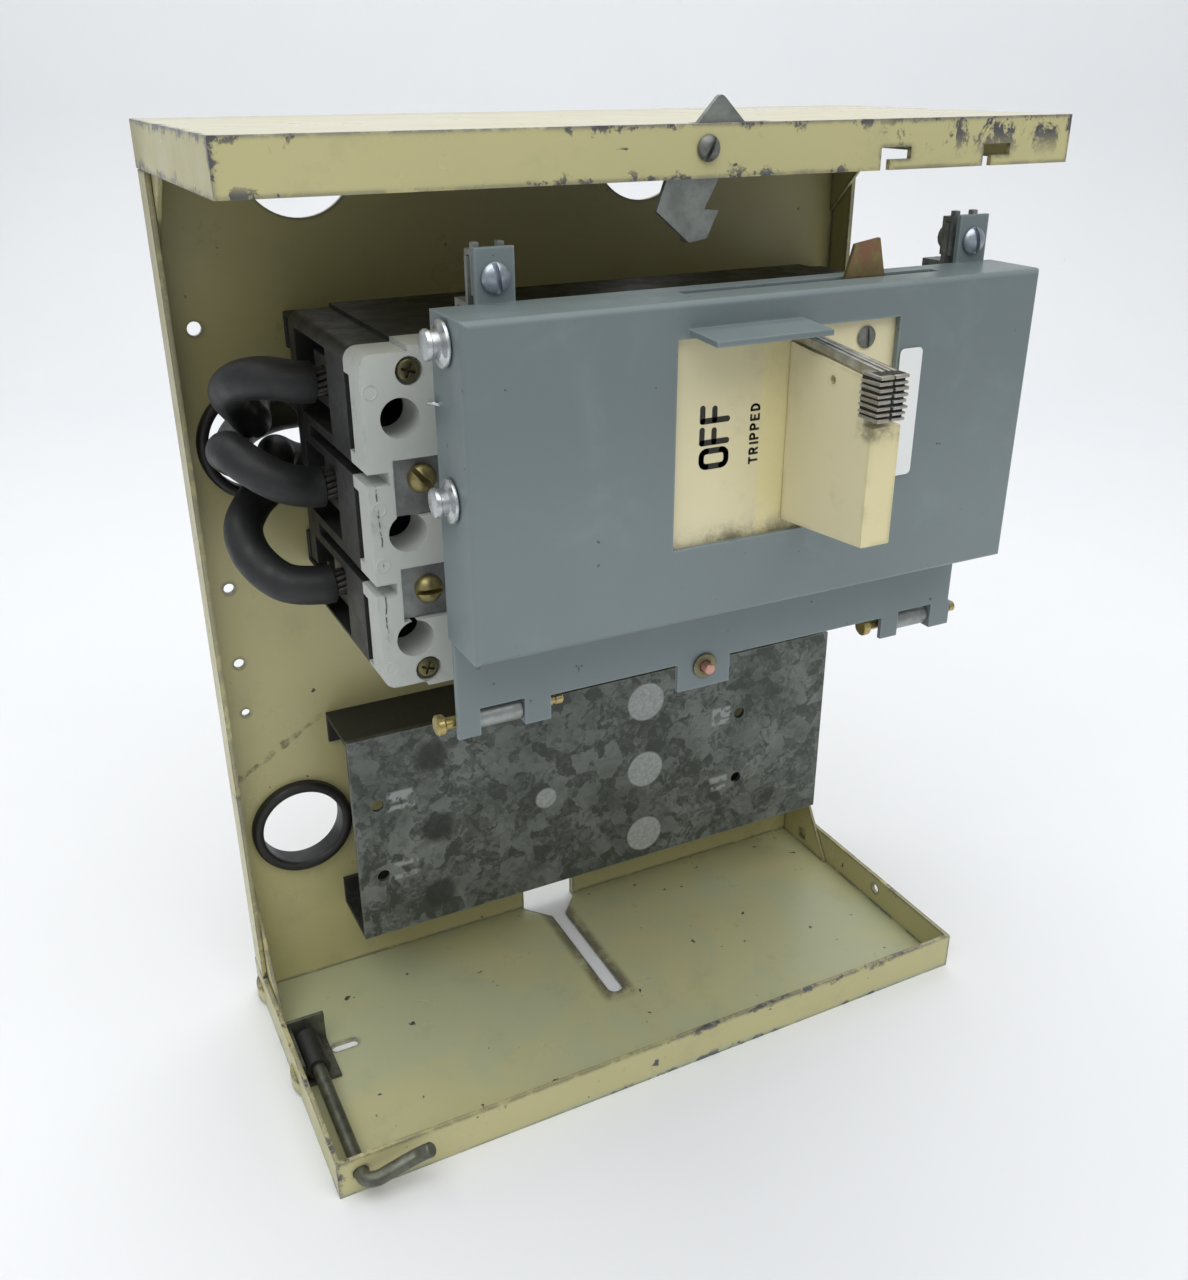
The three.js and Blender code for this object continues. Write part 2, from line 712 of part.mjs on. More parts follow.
function operatorBase() {
  const topZ = [BREAKER_Z[1] + GAP, BREAKER_Z[1] + GAP + SHEET];
  const plate = [block([67, 262], BASE_Y, [212, topZ[1]])];
  for (const x of ARM_X) {
    plate.push(block(x, [BASE_Y[0], 10], topZ));
    plate.push(block(x, [10 - SHEET, 10], [topZ[0], 334]));
    plate.push(block(x, [BASE_Y[0], 10], [334 - SHEET, 334]));
    plate.push(block(x, BASE_Y, [334 - SHEET, 347]));
  }
  for (const z of FOOT.z) {
    plate.push(...bothEnds([FOOT.x[0], FOOT.riserX[1]], (x) => block(x, FOOT.y, z)));
    plate.push(...bothEnds(FOOT.riserX, (x) => block(x, [BASE_Y[0], FOOT.y[1]], z)));
    plate.push(...bothEnds([FOOT.riserX[0], 68], (x) => block(x, BASE_Y, z)));
  }
  for (const x of KNUCKLE_X) {
    plate.push(block(x, BASE_Y, [HINGE.z, 213]));
    plate.push(barX(x, HINGE.y, HINGE.z, HINGE.barrel));
  }
  const holes = KNUCKLE_X.map(([x0, x1]) => barX([x0 - 1, x1 + 1], HINGE.y, HINGE.z, HINGE.bore));
  for (const [x0, x1] of ARM_X) holes.push(barY((x0 + x1) / 2, [-5, 5], EAR_SCREW_Z, 3.4, 16));
  for (const z of MOUNT_SCREW.z) {
    for (const [x] of bothEnds([MOUNT_SCREW.x, MOUNT_SCREW.x], (span) => span)) {
      holes.push(barY(x, [FOOT.y[0] - 1, FOOT.y[1] + 1], z, 2.8, 16));
    }
  }
  holes.push(block([TOGGLE.x - 33, TOGGLE.x + 33], [-5, 5], [POLE_Z[1] - 18, POLE_Z[1] + 18]));
  return cut(join(...plate), ...holes);
}

function clipNut([x0, x1]) {
  const mid = (x0 + x1) / 2;
  const front = [BASE_Y[0] - GAP - 1.6, BASE_Y[0] - GAP];
  const rear = [BASE_Y[1] + GAP, BASE_Y[1] + GAP + 1.6];
  const body = join(
    block([x0 + 0.8, x1 - 0.8], front, [336, 349]),
    block([x0 + 0.8, x1 - 0.8], rear, [336, 349]),
    block([x0 + 0.8, x1 - 0.8], [front[0], rear[1]], [347.3, 349]),
    block([x0 + 1.2, x0 + 3.4], [front[0], front[0] + 2.4], [348, 351]),
    block([x1 - 3.4, x1 - 1.2], [front[0], front[0] + 2.4], [348, 351]),
    barY(mid, [rear[1] - 0.5, rear[1] + 3], EAR_SCREW_Z, 4.4, 20),
  );
  return cut(body, barY(mid, [-8, 12], EAR_SCREW_Z, 3, 16));
}

add('operator_base', operatorBase(), 'zinc');
['left', 'right'].forEach((side, i) => {
  const [x0, x1] = ARM_X[i];
  const [k0] = KNUCKLE_X[i];
  add(`clip_nut_${side}`, clipNut(ARM_X[i]), 'zinc');
  add(
    `ear_screw_${side}`,
    slottedScrew({
      x: (x0 + x1) / 2,
      y: COVER_REAR - 2.5 - GAP - 2.8,
      z: EAR_SCREW_Z,
      head: 4.7,
      dome: 2.8,
      shank: 2.1,
      length: 13,
      turn: 1.5,
    }),
    'zinc',
  );
  add(
    `hinge_pin_${side}`,
    join(
      barX([k0 - 13.4, k0 + 32], HINGE.y, HINGE.z, HINGE.pin, 16),
      barX([k0 - 14.6, k0 - 11.6], HINGE.y, HINGE.z, 3.6, 20),
    ),
    'brass',
  );
});

// ---------- operator cover ----------

const BEND = 2.4;
const SKIRT_TAB = { x: [141, 163], z: 190.5 };
const SKIRT_PIN = { x: 152, z: 199.3 };
const HOOD = { x: [127.6, 168.8], reach: 16, z: 323.2, drop: 1, sheet: 1.8 };
const EAR_Z = 350;
const STUD = { y: -16, z: [326, 279.5] };

// Folded sheet box with mitred corners and bends about its front, open at the back.
function foldedTray([x0, x1], [y0, y1], [z0, z1], bend) {
  const outline = polygon([
    [x0, z0],
    [x1, z0],
    [x1, z1],
    [x0, z1],
  ]);
  const past = 20; // beyond the open back, cut off again below
  const body = new THREE.ExtrudeGeometry(outline, {
    depth: y1 - y0 + past - 2 * bend,
    bevelThickness: bend,
    bevelSize: bend,
    bevelOffset: -bend,
    bevelSegments: 4,
  });
  body.translate(0, 0, bend).rotateX(Math.PI / 2).translate(0, y1 + past, 0);
  return cut(body, block([x0 - 5, x1 + 5], [y1, y1 + 2 * past], [z0 - 5, z1 + 5]));
}

function operatorCover() {
  const tray = cut(
    foldedTray(COVER_X, [COVER_FRONT, COVER_REAR], COVER_Z, BEND),
    foldedTray(
      inset(COVER_X, SHEET),
      [COVER_FRONT + SHEET, COVER_REAR + 1],
      inset(COVER_Z, SHEET),
      BEND - SHEET + 0.3,
    ),
  );
  const skirtY = [COVER_REAR - SHEET, COVER_REAR];
  const body = [
    tray,
    block([COVER_X[0] + 1, COVER_X[1] - 1], skirtY, [SKIRT_Z, COVER_Z[0] + 1]),
    block(SKIRT_TAB.x, skirtY, [SKIRT_TAB.z, SKIRT_Z + 1]),
    plateX(
      polygon([
        [COVER_FRONT - HOOD.reach, HOOD.z],
        [COVER_FRONT + 1, HOOD.z + HOOD.drop],
        [COVER_FRONT + 1, HOOD.z + HOOD.drop + HOOD.sheet],
        [COVER_FRONT - HOOD.reach, HOOD.z + HOOD.sheet],
      ]),
      HOOD.x,
    ),
  ];
  for (const [x0, x1] of ARM_X) {
    body.push(block([x0, x1], [COVER_REAR - 2.5, COVER_REAR - 0.6], [COVER_Z[1] - 1, EAR_Z]));
  }
  for (const [k0, k1] of KNUCKLE_X) {
    body.push(block([k0 - 8.4, k1 + 10], skirtY, [SKIRT_FOOT, SKIRT_Z + 1]));
    const wings = [
      [k0 - GAP - SHEET, k0 - GAP],
      [k1 + GAP, k1 + GAP + SHEET],
    ];
    for (const x of wings) {
      body.push(block(x, [skirtY[0], HINGE.y + HINGE.barrel], [SKIRT_FOOT, SKIRT_Z]));
    }
  }
  const through = [COVER_FRONT - 2, COVER_FRONT + SHEET + 1];
  const holes = [
    block(WINDOW_X, through, WINDOW_Z),
    block([133, 233], [-17.6, -12.4], [COVER_Z[1] - 4, COVER_Z[1] + 1]),
    barY(SKIRT_PIN.x, [-9, -3], SKIRT_PIN.z, 2.3, 16),
  ];
  for (const [x0, x1] of ARM_X) holes.push(barY((x0 + x1) / 2, [-9, -4], EAR_SCREW_Z, 2.5, 16));
  for (const [k0, k1] of KNUCKLE_X) {
    holes.push(barX([k0 - 9, k1 + 10], HINGE.y, HINGE.z, HINGE.bore));
    holes.push(block([k0 - GAP, k1 + GAP], [-12, 6], [SKIRT_FOOT - 1, HINGE.z + 5.6]));
  }
  for (const z of STUD.z) holes.push(barX([COVER_X[0] - 1, COVER_X[0] + 4], STUD.y, z, 2.3, 16));
  return cut(join(...body), ...holes);
}

function shoulderStud(z) {
  const face = COVER_X[0] - GAP;
  return join(
    barX([face - 1.2, face], STUD.y, z, 7, 32),
    barX([face - 6.2, face - 1], STUD.y, z, 4.6, 24),
    barX([face - 0.5, COVER_X[0] + SHEET + 1.6], STUD.y, z, 2, 16),
  );
}

add('operator_cover', operatorCover(), 'gray');
['upper', 'lower'].forEach((level, i) => add(`shoulder_stud_${level}`, shoulderStud(STUD.z[i]), 'zinc'));
add(
  'skirt_pin',
  join(
    barY(SKIRT_PIN.x, [-11.4, -3.2], SKIRT_PIN.z, 2, 16),
    barY(SKIRT_PIN.x, [COVER_REAR + 2 * GAP, -3.2], SKIRT_PIN.z, 3.4, 20),
  ),
  'copper',
);
add(
  'skirt_pin_washer',
  cut(
    barY(SKIRT_PIN.x, [COVER_REAR - SHEET - GAP - 0.9, COVER_REAR - SHEET - GAP], SKIRT_PIN.z, 4.8, 28),
    barY(SKIRT_PIN.x, [-12, 0], SKIRT_PIN.z, 2.3, 16),
  ),
  'yellow',
);
add(
  'rating_label',
  plateY(roundedRect([208.4, 217.8], [268.8, 312.4], 1.8), [COVER_FRONT - GAP - 0.3, COVER_FRONT - GAP], 3),
  'label',
);

function guide(z0, z1, lipZ) {
  const x = [66, 262];
  const y = [COVER_FRONT + SHEET + GAP, -20.5];
  return join(block(x, y, [z0, z1]), block(x, [PLATE_Y[1] + 0.6, PLATE_Y[1] + 1.8], lipZ));
}

add('slide_guide_upper', guide(330.2, 331.7, [325.5, 331]), 'zinc');
add('slide_guide_lower', guide(233, 250.2, [244, 253.6]), 'zinc');

// ---------- operating slide ----------

const FORK_GAP = 8; // clear of the toggle on each side
const SLIDE_SCREW = { x: 196, z: 317 };

function slidePlate() {
  const tipX = TOGGLE.x + TRAVEL / 2;
  const forkZ = [254.4, 272];
  const body = join(
    block([112, 252], PLATE_Y, [250.8, 329.4]),
    block([tipX - FORK_GAP - 4, tipX - FORK_GAP], [PLATE_Y[1] - 1, -9], forkZ),
    block([tipX + FORK_GAP, tipX + FORK_GAP + 4], [PLATE_Y[1] - 1, -9], forkZ),
  );
  return cut(body, barY(SLIDE_SCREW.x, [-30, -20], SLIDE_SCREW.z, 2.5, 16));
}

const FIN_FRONT = -70.2;
const FIN_TOP = [314.5, 318.5]; // at the notch and at the plate
const NOTCH = { y: -66, z: 300.6 };
const HASP = { x: [163.4, 174.2], z: [303.3, 317.6], leaves: 8, armX: [166.8, 173], arm: 3 };

function handleFin() {
  const back = PLATE_Y[0] - GAP;
  const fin = plateX(
    polygon([
      [back, 259.6],
      [back, FIN_TOP[1]],
      [NOTCH.y, FIN_TOP[0]],
      [NOTCH.y, NOTCH.z],
      [FIN_FRONT, NOTCH.z],
      [FIN_FRONT, 263.2],
    ]),
    FIN_X,
  );
  return cut(fin, barX([FIN_X[0] - 1, FIN_X[1] + 1], -50, 310.8, 1.4, 12));
}

// Stack of steel leaves: a block at the handle's nose and one long arm on top.
function lockoutHasp() {
  const pitch = (HASP.z[1] - HASP.z[0]) / HASP.leaves;
  const pieces = [];
  for (let i = 0; i < HASP.leaves; i += 1) {
    const z = HASP.z[0] + i * pitch;
    const nose = i % 2 === 0 ? HASP_FRONT : HASP_FRONT + 0.8;
    pieces.push(block(HASP.x, [nose, NOTCH.y - GAP], [z, z + pitch + 0.05]));
  }
  const armEnd = COVER_FRONT + 1;
  const underArm = [FIN_TOP[0] + GAP, FIN_TOP[1] + GAP];
  const arm = plateX(
    polygon([
      [NOTCH.y - 6, underArm[0] - 1],
      [NOTCH.y - GAP, underArm[0]],
      [armEnd, underArm[1]],
      [armEnd, underArm[1] + HASP.arm],
      [NOTCH.y - 6, underArm[0] + HASP.arm],
    ]),
    HASP.armX,
  );
  return join(...pieces, arm);
}

function interlockTab() {
  const riserY = [-15.8, -14.2];
  const flange = [PLATE_Y[1] + GAP, PLATE_Y[1] + GAP + 1.6];
  return cut(
    join(
      block([186, 206], flange, [306, 324.5]),
      block([195, 206], [flange[0], riserY[1]], [322.9, 324.5]),
      plateY(
        polygon([
          [195, 323],
          [211, 330],
          [211, 334],
          [208, 346],
          [198, 344.5],
          [195, 334],
        ]),
        riserY,
      ),
    ),
    barY(SLIDE_SCREW.x, [-30, -20], SLIDE_SCREW.z, 2.5, 16),
  );
}

add('slide_plate', slidePlate(), 'ivory');
add('operator_handle', handleFin(), 'ivory');
add('lockout_hasp', lockoutHasp(), 'steel');
add('interlock_tab', interlockTab(), 'yellow');
add(
  'slide_screw',
  slottedScrew({
    x: SLIDE_SCREW.x,
    y: PLATE_Y[0] - GAP - 0.9,
    z: SLIDE_SCREW.z,
    head: 3.6,
    dome: 0.9,
    shank: 2.1,
    length: 8,
    turn: 1.4,
  }),
  'steel',
);

// ---------- top unit latch ----------

function latchLever() {
  const { x, z, y } = LATCH;
  const plate = plateY(
    polygon([
      [x - 5.5, z - 1],
      [x - 13, z - 8.5],
      [x - 16.5, z - 18],
      [x - 4.5, z - 28],
      [x + 8, z - 5],
      [x + 15.5, z + 4.8],
      [x + 15.5, z + 6.4],
      [x + 7.4, z + 14.2],
      [x + 6.4, z + 14.9],
      [x + 5.4, z + 15],
      [x + 4.5, z + 14.5],
      [x - 3, z + 6.6],
    ]),
    y,
  );
  const tab = plateY(
    polygon([
      [x - 4.5, z - 28],
      [x + 2.2, z - 27],
      [x + 6.2, z - 18.6],
      [x + 0.5, z - 18],
    ]),
    [y[0], y[1] + 4],
  );
  return cut(join(plate, tab), barY(x, [0, 9], z, 2.3, 20));
}

add('unit_latch', latchLever(), 'zinc');
add(
  'latch_screw',
  slottedScrew({
    x: LATCH.x,
    y: -GAP - 2.4,
    z: LATCH.z,
    head: 4,
    dome: 2.4,
    shank: 1.9,
    length: 9,
    turn: -1.1,
  }),
  'steel',
);

// ---------- retainer rod ----------

const ROD_REAR = 82;
const BRACKET_Y = [60, 86];

function retainerRod() {
  const { x, z, r } = ROD;
  const curve = [
    [x, ROD_REAR, z],
    [x, 55, z],
    [x, 28, z],
    [x, 8, z],
    [x, 0.5, z],
    [x + 0.8, -4, z + 0.1],
    [x + 4.2, -6.3, z + 0.8],
    [x + 10, -6.4, z + 2],
    [x + 17, -6.3, z + 3.6],
    [x + 22, -7, z + 5.4],
    [x + 26, -9.6, z + 8.6],
  ];
  return sweep(curve, r, 48, 4);
}

function rodBracket() {
  const x = [SHEET + GAP, 18.5];
  const floor = SHEET + GAP;
  const body = join(
    block([x[0], x[0] + 1.6], BRACKET_Y, [floor, 14.5]),
    block(x, [BRACKET_Y[1] - 1.8, BRACKET_Y[1]], [floor, 18]),
    block(x, BRACKET_Y, [floor, floor + 1.6]),
  );
  return cut(body, barY(ROD.x, [80, 90], ROD.z, 2, 12));
}

function rodSleeve() {
  const { x, z, r } = ROD;
  const y = [BRACKET_Y[0] + 0.5, ROD_REAR - 1];
  const body = join(
    barY(x, y, z, 5.2, 20),
    block([x - 5.2, x + 5.2], [y[0] + 6, y[1]], [SHEET + 2 * GAP + 1.6, z]),
  );
  return cut(body, barY(x, [y[0] - 1, y[1] + 1], z, r + GAP, 20));
}

add('retainer_rod', retainerRod(), 'steel');
add('rod_bracket', rodBracket(), 'zinc');
add('rod_sleeve', rodSleeve(), 'black');

export default unit;
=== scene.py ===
import json
import math
import random

import bmesh
import bpy
from mathutils import Matrix, Vector


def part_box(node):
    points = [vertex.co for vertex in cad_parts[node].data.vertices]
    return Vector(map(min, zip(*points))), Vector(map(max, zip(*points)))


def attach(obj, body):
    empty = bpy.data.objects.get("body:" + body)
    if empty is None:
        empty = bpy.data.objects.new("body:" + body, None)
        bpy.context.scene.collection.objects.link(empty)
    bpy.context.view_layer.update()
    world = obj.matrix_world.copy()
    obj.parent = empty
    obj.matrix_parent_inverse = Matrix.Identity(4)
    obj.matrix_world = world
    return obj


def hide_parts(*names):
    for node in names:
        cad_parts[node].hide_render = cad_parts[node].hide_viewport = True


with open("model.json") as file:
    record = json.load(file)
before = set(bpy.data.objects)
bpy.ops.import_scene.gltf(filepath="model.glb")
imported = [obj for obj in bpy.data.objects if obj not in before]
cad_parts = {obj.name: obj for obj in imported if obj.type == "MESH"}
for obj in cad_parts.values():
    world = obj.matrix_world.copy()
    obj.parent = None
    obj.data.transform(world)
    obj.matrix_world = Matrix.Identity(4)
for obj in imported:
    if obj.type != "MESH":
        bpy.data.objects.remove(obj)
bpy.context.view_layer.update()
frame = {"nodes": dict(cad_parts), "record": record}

# ---------- places ----------
# Lengths below are in millimetres, in the enclosure's own directions: x from its
# left side, y from its front lip, z from its underside. at() puts them in the frame.

MM = 0.001
GAP = 0.3  # between pieces that touch
SHEET = 1.9  # thickness of the enclosure's steel
CORNER = Vector((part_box("back_pan")[0].x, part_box("top_pan")[0].y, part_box("bottom_pan")[0].z))
BODY_OF = {node: body for body, nodes in frame["record"]["behaviour"]["bodies"].items() for node in nodes}
SLOT_OF = {row["node"]: row["material_slot"] for row in frame["record"]["subparts"]}


def at(x, y, z):
    return CORNER + Vector((x, y, z)) * MM


def mm_box(node):
    low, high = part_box(node)
    return (low - CORNER) / MM, (high - CORNER) / MM


# ---------- camera, lights and floor ----------


CAMERA_PLACE = (-63.85, -346.74, 396.28)
CAMERA_RIGHT = Vector((0.89263, -0.45077, -0.0029))
CAMERA_UP = Vector((0.1929, 0.3761, 0.9063))
LENS = 34.48
SENSOR = 36
WORLD_COLOUR = (0.95, 0.975, 1.0, 1)
WORLD_STRENGTH = 0.42


def make_camera():
    data = bpy.data.cameras.new("camera")
    data.lens = LENS
    data.sensor_width = SENSOR
    camera = bpy.data.objects.new("camera", data)
    bpy.context.scene.collection.objects.link(camera)
    back = CAMERA_RIGHT.cross(CAMERA_UP).normalized()
    right = CAMERA_UP.cross(back).normalized()
    up = back.cross(right)
    turn = Matrix((right, up, back)).transposed().to_4x4()
    camera.matrix_world = Matrix.Translation(at(*CAMERA_PLACE)) @ turn
    bpy.context.scene.camera = camera


def area_light(name, place, target, size, watts):
    data = bpy.data.lights.new(name, "AREA")
    data.shape = "RECTANGLE"
    data.size, data.size_y = size
    data.energy = watts
    light = bpy.data.objects.new(name, data)
    light.location = place
    light.rotation_euler = (Vector(target) - Vector(place)).to_track_quat("-Z", "Y").to_euler()
    bpy.context.scene.collection.objects.link(light)


def make_lights():
    scene = bpy.context.scene
    scene.view_settings.view_transform = "Standard"
    world = bpy.data.worlds.new("studio")
    scene.world = world
    world.use_nodes = True
    background = world.node_tree.nodes["Background"]
    background.inputs["Color"].default_value = WORLD_COLOUR
    background.inputs["Strength"].default_value = WORLD_STRENGTH
    area_light("overhead", (-0.25, -0.75, 1.9), (0, 0.1, 0.0), (2.6, 1.9), 34)
    area_light("behind", (0.2, 1.0, 2.0), (0.2, 0.6, 0.0), (2.4, 1.2), 16)


# ---------- node materials ----------


class Shader:
    """Lays down shader nodes over the object's own coordinates, in metres."""

    def __init__(self, name, **settings):
        self.material = bpy.data.materials.new(name)
        self.material.use_nodes = True
        self.tree = self.material.node_tree
        self.bsdf = self.tree.nodes["Principled BSDF"]
        for socket, value in settings.items():
            self.bsdf.inputs[socket.replace("_", " ")].default_value = value
        self.place = self.add("ShaderNodeTexCoord").outputs["Object"]

    def add(self, kind, inputs=(), **settings):
        node = self.tree.nodes.new(kind)
        for key, value in settings.items():
            setattr(node, key, value)
        for key, value in dict(inputs).items():
            self.feed(node.inputs[key], value)
        return node

    def feed(self, socket, value):
        if isinstance(value, bpy.types.NodeSocket):
            self.tree.links.new(value, socket)
        else:
            socket.default_value = value

    def math(self, operation, a, b=0.0, clamp=False):
        node = self.add("ShaderNodeMath", {0: a, 1: b}, operation=operation, use_clamp=clamp)
        return node.outputs[0]

    def stretched(self, factors):
        node = self.add("ShaderNodeVectorMath", {0: self.place, 1: factors}, operation="MULTIPLY")
        return node.outputs[0]

    def noise(self, scale, detail=5.0, rough=0.6, distort=0.0, stretch=None):
        inputs = {
            "Vector": self.stretched(stretch) if stretch else self.place,
            "Scale": scale,
            "Detail": detail,
            "Roughness": rough,
            "Distortion": distort,
        }
        return self.add("ShaderNodeTexNoise", inputs).outputs[0]

    def cells(self, scale, vector):
        return self.add("ShaderNodeTexVoronoi", {"Vector": vector, "Scale": scale}).outputs["Color"]

    def ramp(self, value, low, high, start=0.0, end=1.0):
        inputs = {0: value, 1: low, 2: high, 3: start, 4: end}
        node = self.add("ShaderNodeMapRange", inputs, interpolation_type="SMOOTHSTEP")
        return node.outputs[0]

    def mix(self, factor, a, b):
        node = self.add("ShaderNodeMix", data_type="RGBA")
        self.feed(node.inputs[0], factor)
        self.feed(node.inputs[6], a if isinstance(a, bpy.types.NodeSocket) else (*a, 1))
        self.feed(node.inputs[7], b if isinstance(b, bpy.types.NodeSocket) else (*b, 1))
        return node.outputs[2]

    def axis(self, name):
        split = self.add("ShaderNodeSeparateXYZ", {0: self.place})
        return split.outputs[name]

    def turned(self, radius):
        """How far the surface turns within the radius, in metres: 0 on flats, more on edges and in folds."""
        rounded = self.add("ShaderNodeBevel", {"Radius": radius}, samples=4).outputs[0]
        plain = self.add("ShaderNodeNewGeometry").outputs["Normal"]
        dot = self.add("ShaderNodeVectorMath", {0: rounded, 1: plain}, operation="DOT_PRODUCT")
        return self.math("SUBTRACT", 1.0, dot.outputs["Value"])

    def edges(self, radius, low, high):
        """1 on edges and in folds, fading to 0 at about the radius, in metres."""
        return self.ramp(self.turned(radius), low, high)

    def spot(self, x, z, radius, soft=0.0006):
        """Disc in X and Z about an enclosure point, 1 inside."""
        centre = at(x, 0, z)
        dx = self.math("SUBTRACT", self.axis("X"), centre.x)
        dz = self.math("SUBTRACT", self.axis("Z"), centre.z)
        squared = self.math("ADD", self.math("MULTIPLY", dx, dx), self.math("MULTIPLY", dz, dz))
        return self.ramp(self.math("SQRT", squared), radius * MM + soft, radius * MM - soft)

    def patch(self, x, z, half_x, half_z):
        """Rectangle in X and Z about an enclosure point, 1 inside."""
        soft = 0.0008
        centre = at(x, 0, z)
        dx = self.math("ABSOLUTE", self.math("SUBTRACT", self.axis("X"), centre.x))
        dz = self.math("ABSOLUTE", self.math("SUBTRACT", self.axis("Z"), centre.z))
        inside_x = self.ramp(dx, half_x * MM + soft, half_x * MM - soft)
        inside_z = self.ramp(dz, half_z * MM + soft, half_z * MM - soft)
        return self.math("MULTIPLY", inside_x, inside_z)

    def any_of(self, masks):
        total = masks[0]
        for mask in masks[1:]:
            total = self.math("MAXIMUM", total, mask)
        return total

    def bump(self, height, distance, strength=1.0):
        node = self.add("ShaderNodeBump", {"Height": height, "Distance": distance, "Strength": strength})
        self.tree.links.new(node.outputs[0], self.bsdf.inputs["Normal"])

    def colour(self, value):
        self.feed(self.bsdf.inputs["Base Color"], value)

    def rough(self, value):
        self.feed(self.bsdf.inputs["Roughness"], value)

    def metal(self, value):
        self.feed(self.bsdf.inputs["Metallic"], value)


TOP_LIP_EDGE = 365.1
BOTTOM_LIP_EDGE = 17.6


def shell_edge_distance(s):
    """Distance to the nearest outer edge of the shell: the middle one of the distances to its faces."""
    far = mm_box("top_pan")[1]

    def nearest(name, values):
        spans = [s.math("ABSOLUTE", s.math("SUBTRACT", s.axis(name), value)) for value in values]
        least = spans[0]
        for span in spans[1:]:
            least = s.math("MINIMUM", least, span)
        return least

    x = nearest("X", [at(0, 0, 0).x, at(far.x, 0, 0).x])
    y = nearest("Y", [at(0, 0, 0).y])
    z = nearest("Z", [at(0, 0, v).z for v in (0, BOTTOM_LIP_EDGE, TOP_LIP_EDGE, far.z)])
    return s.math("MAXIMUM", s.math("MINIMUM", x, y), s.math("MINIMUM", s.math("MAXIMUM", x, y), z))


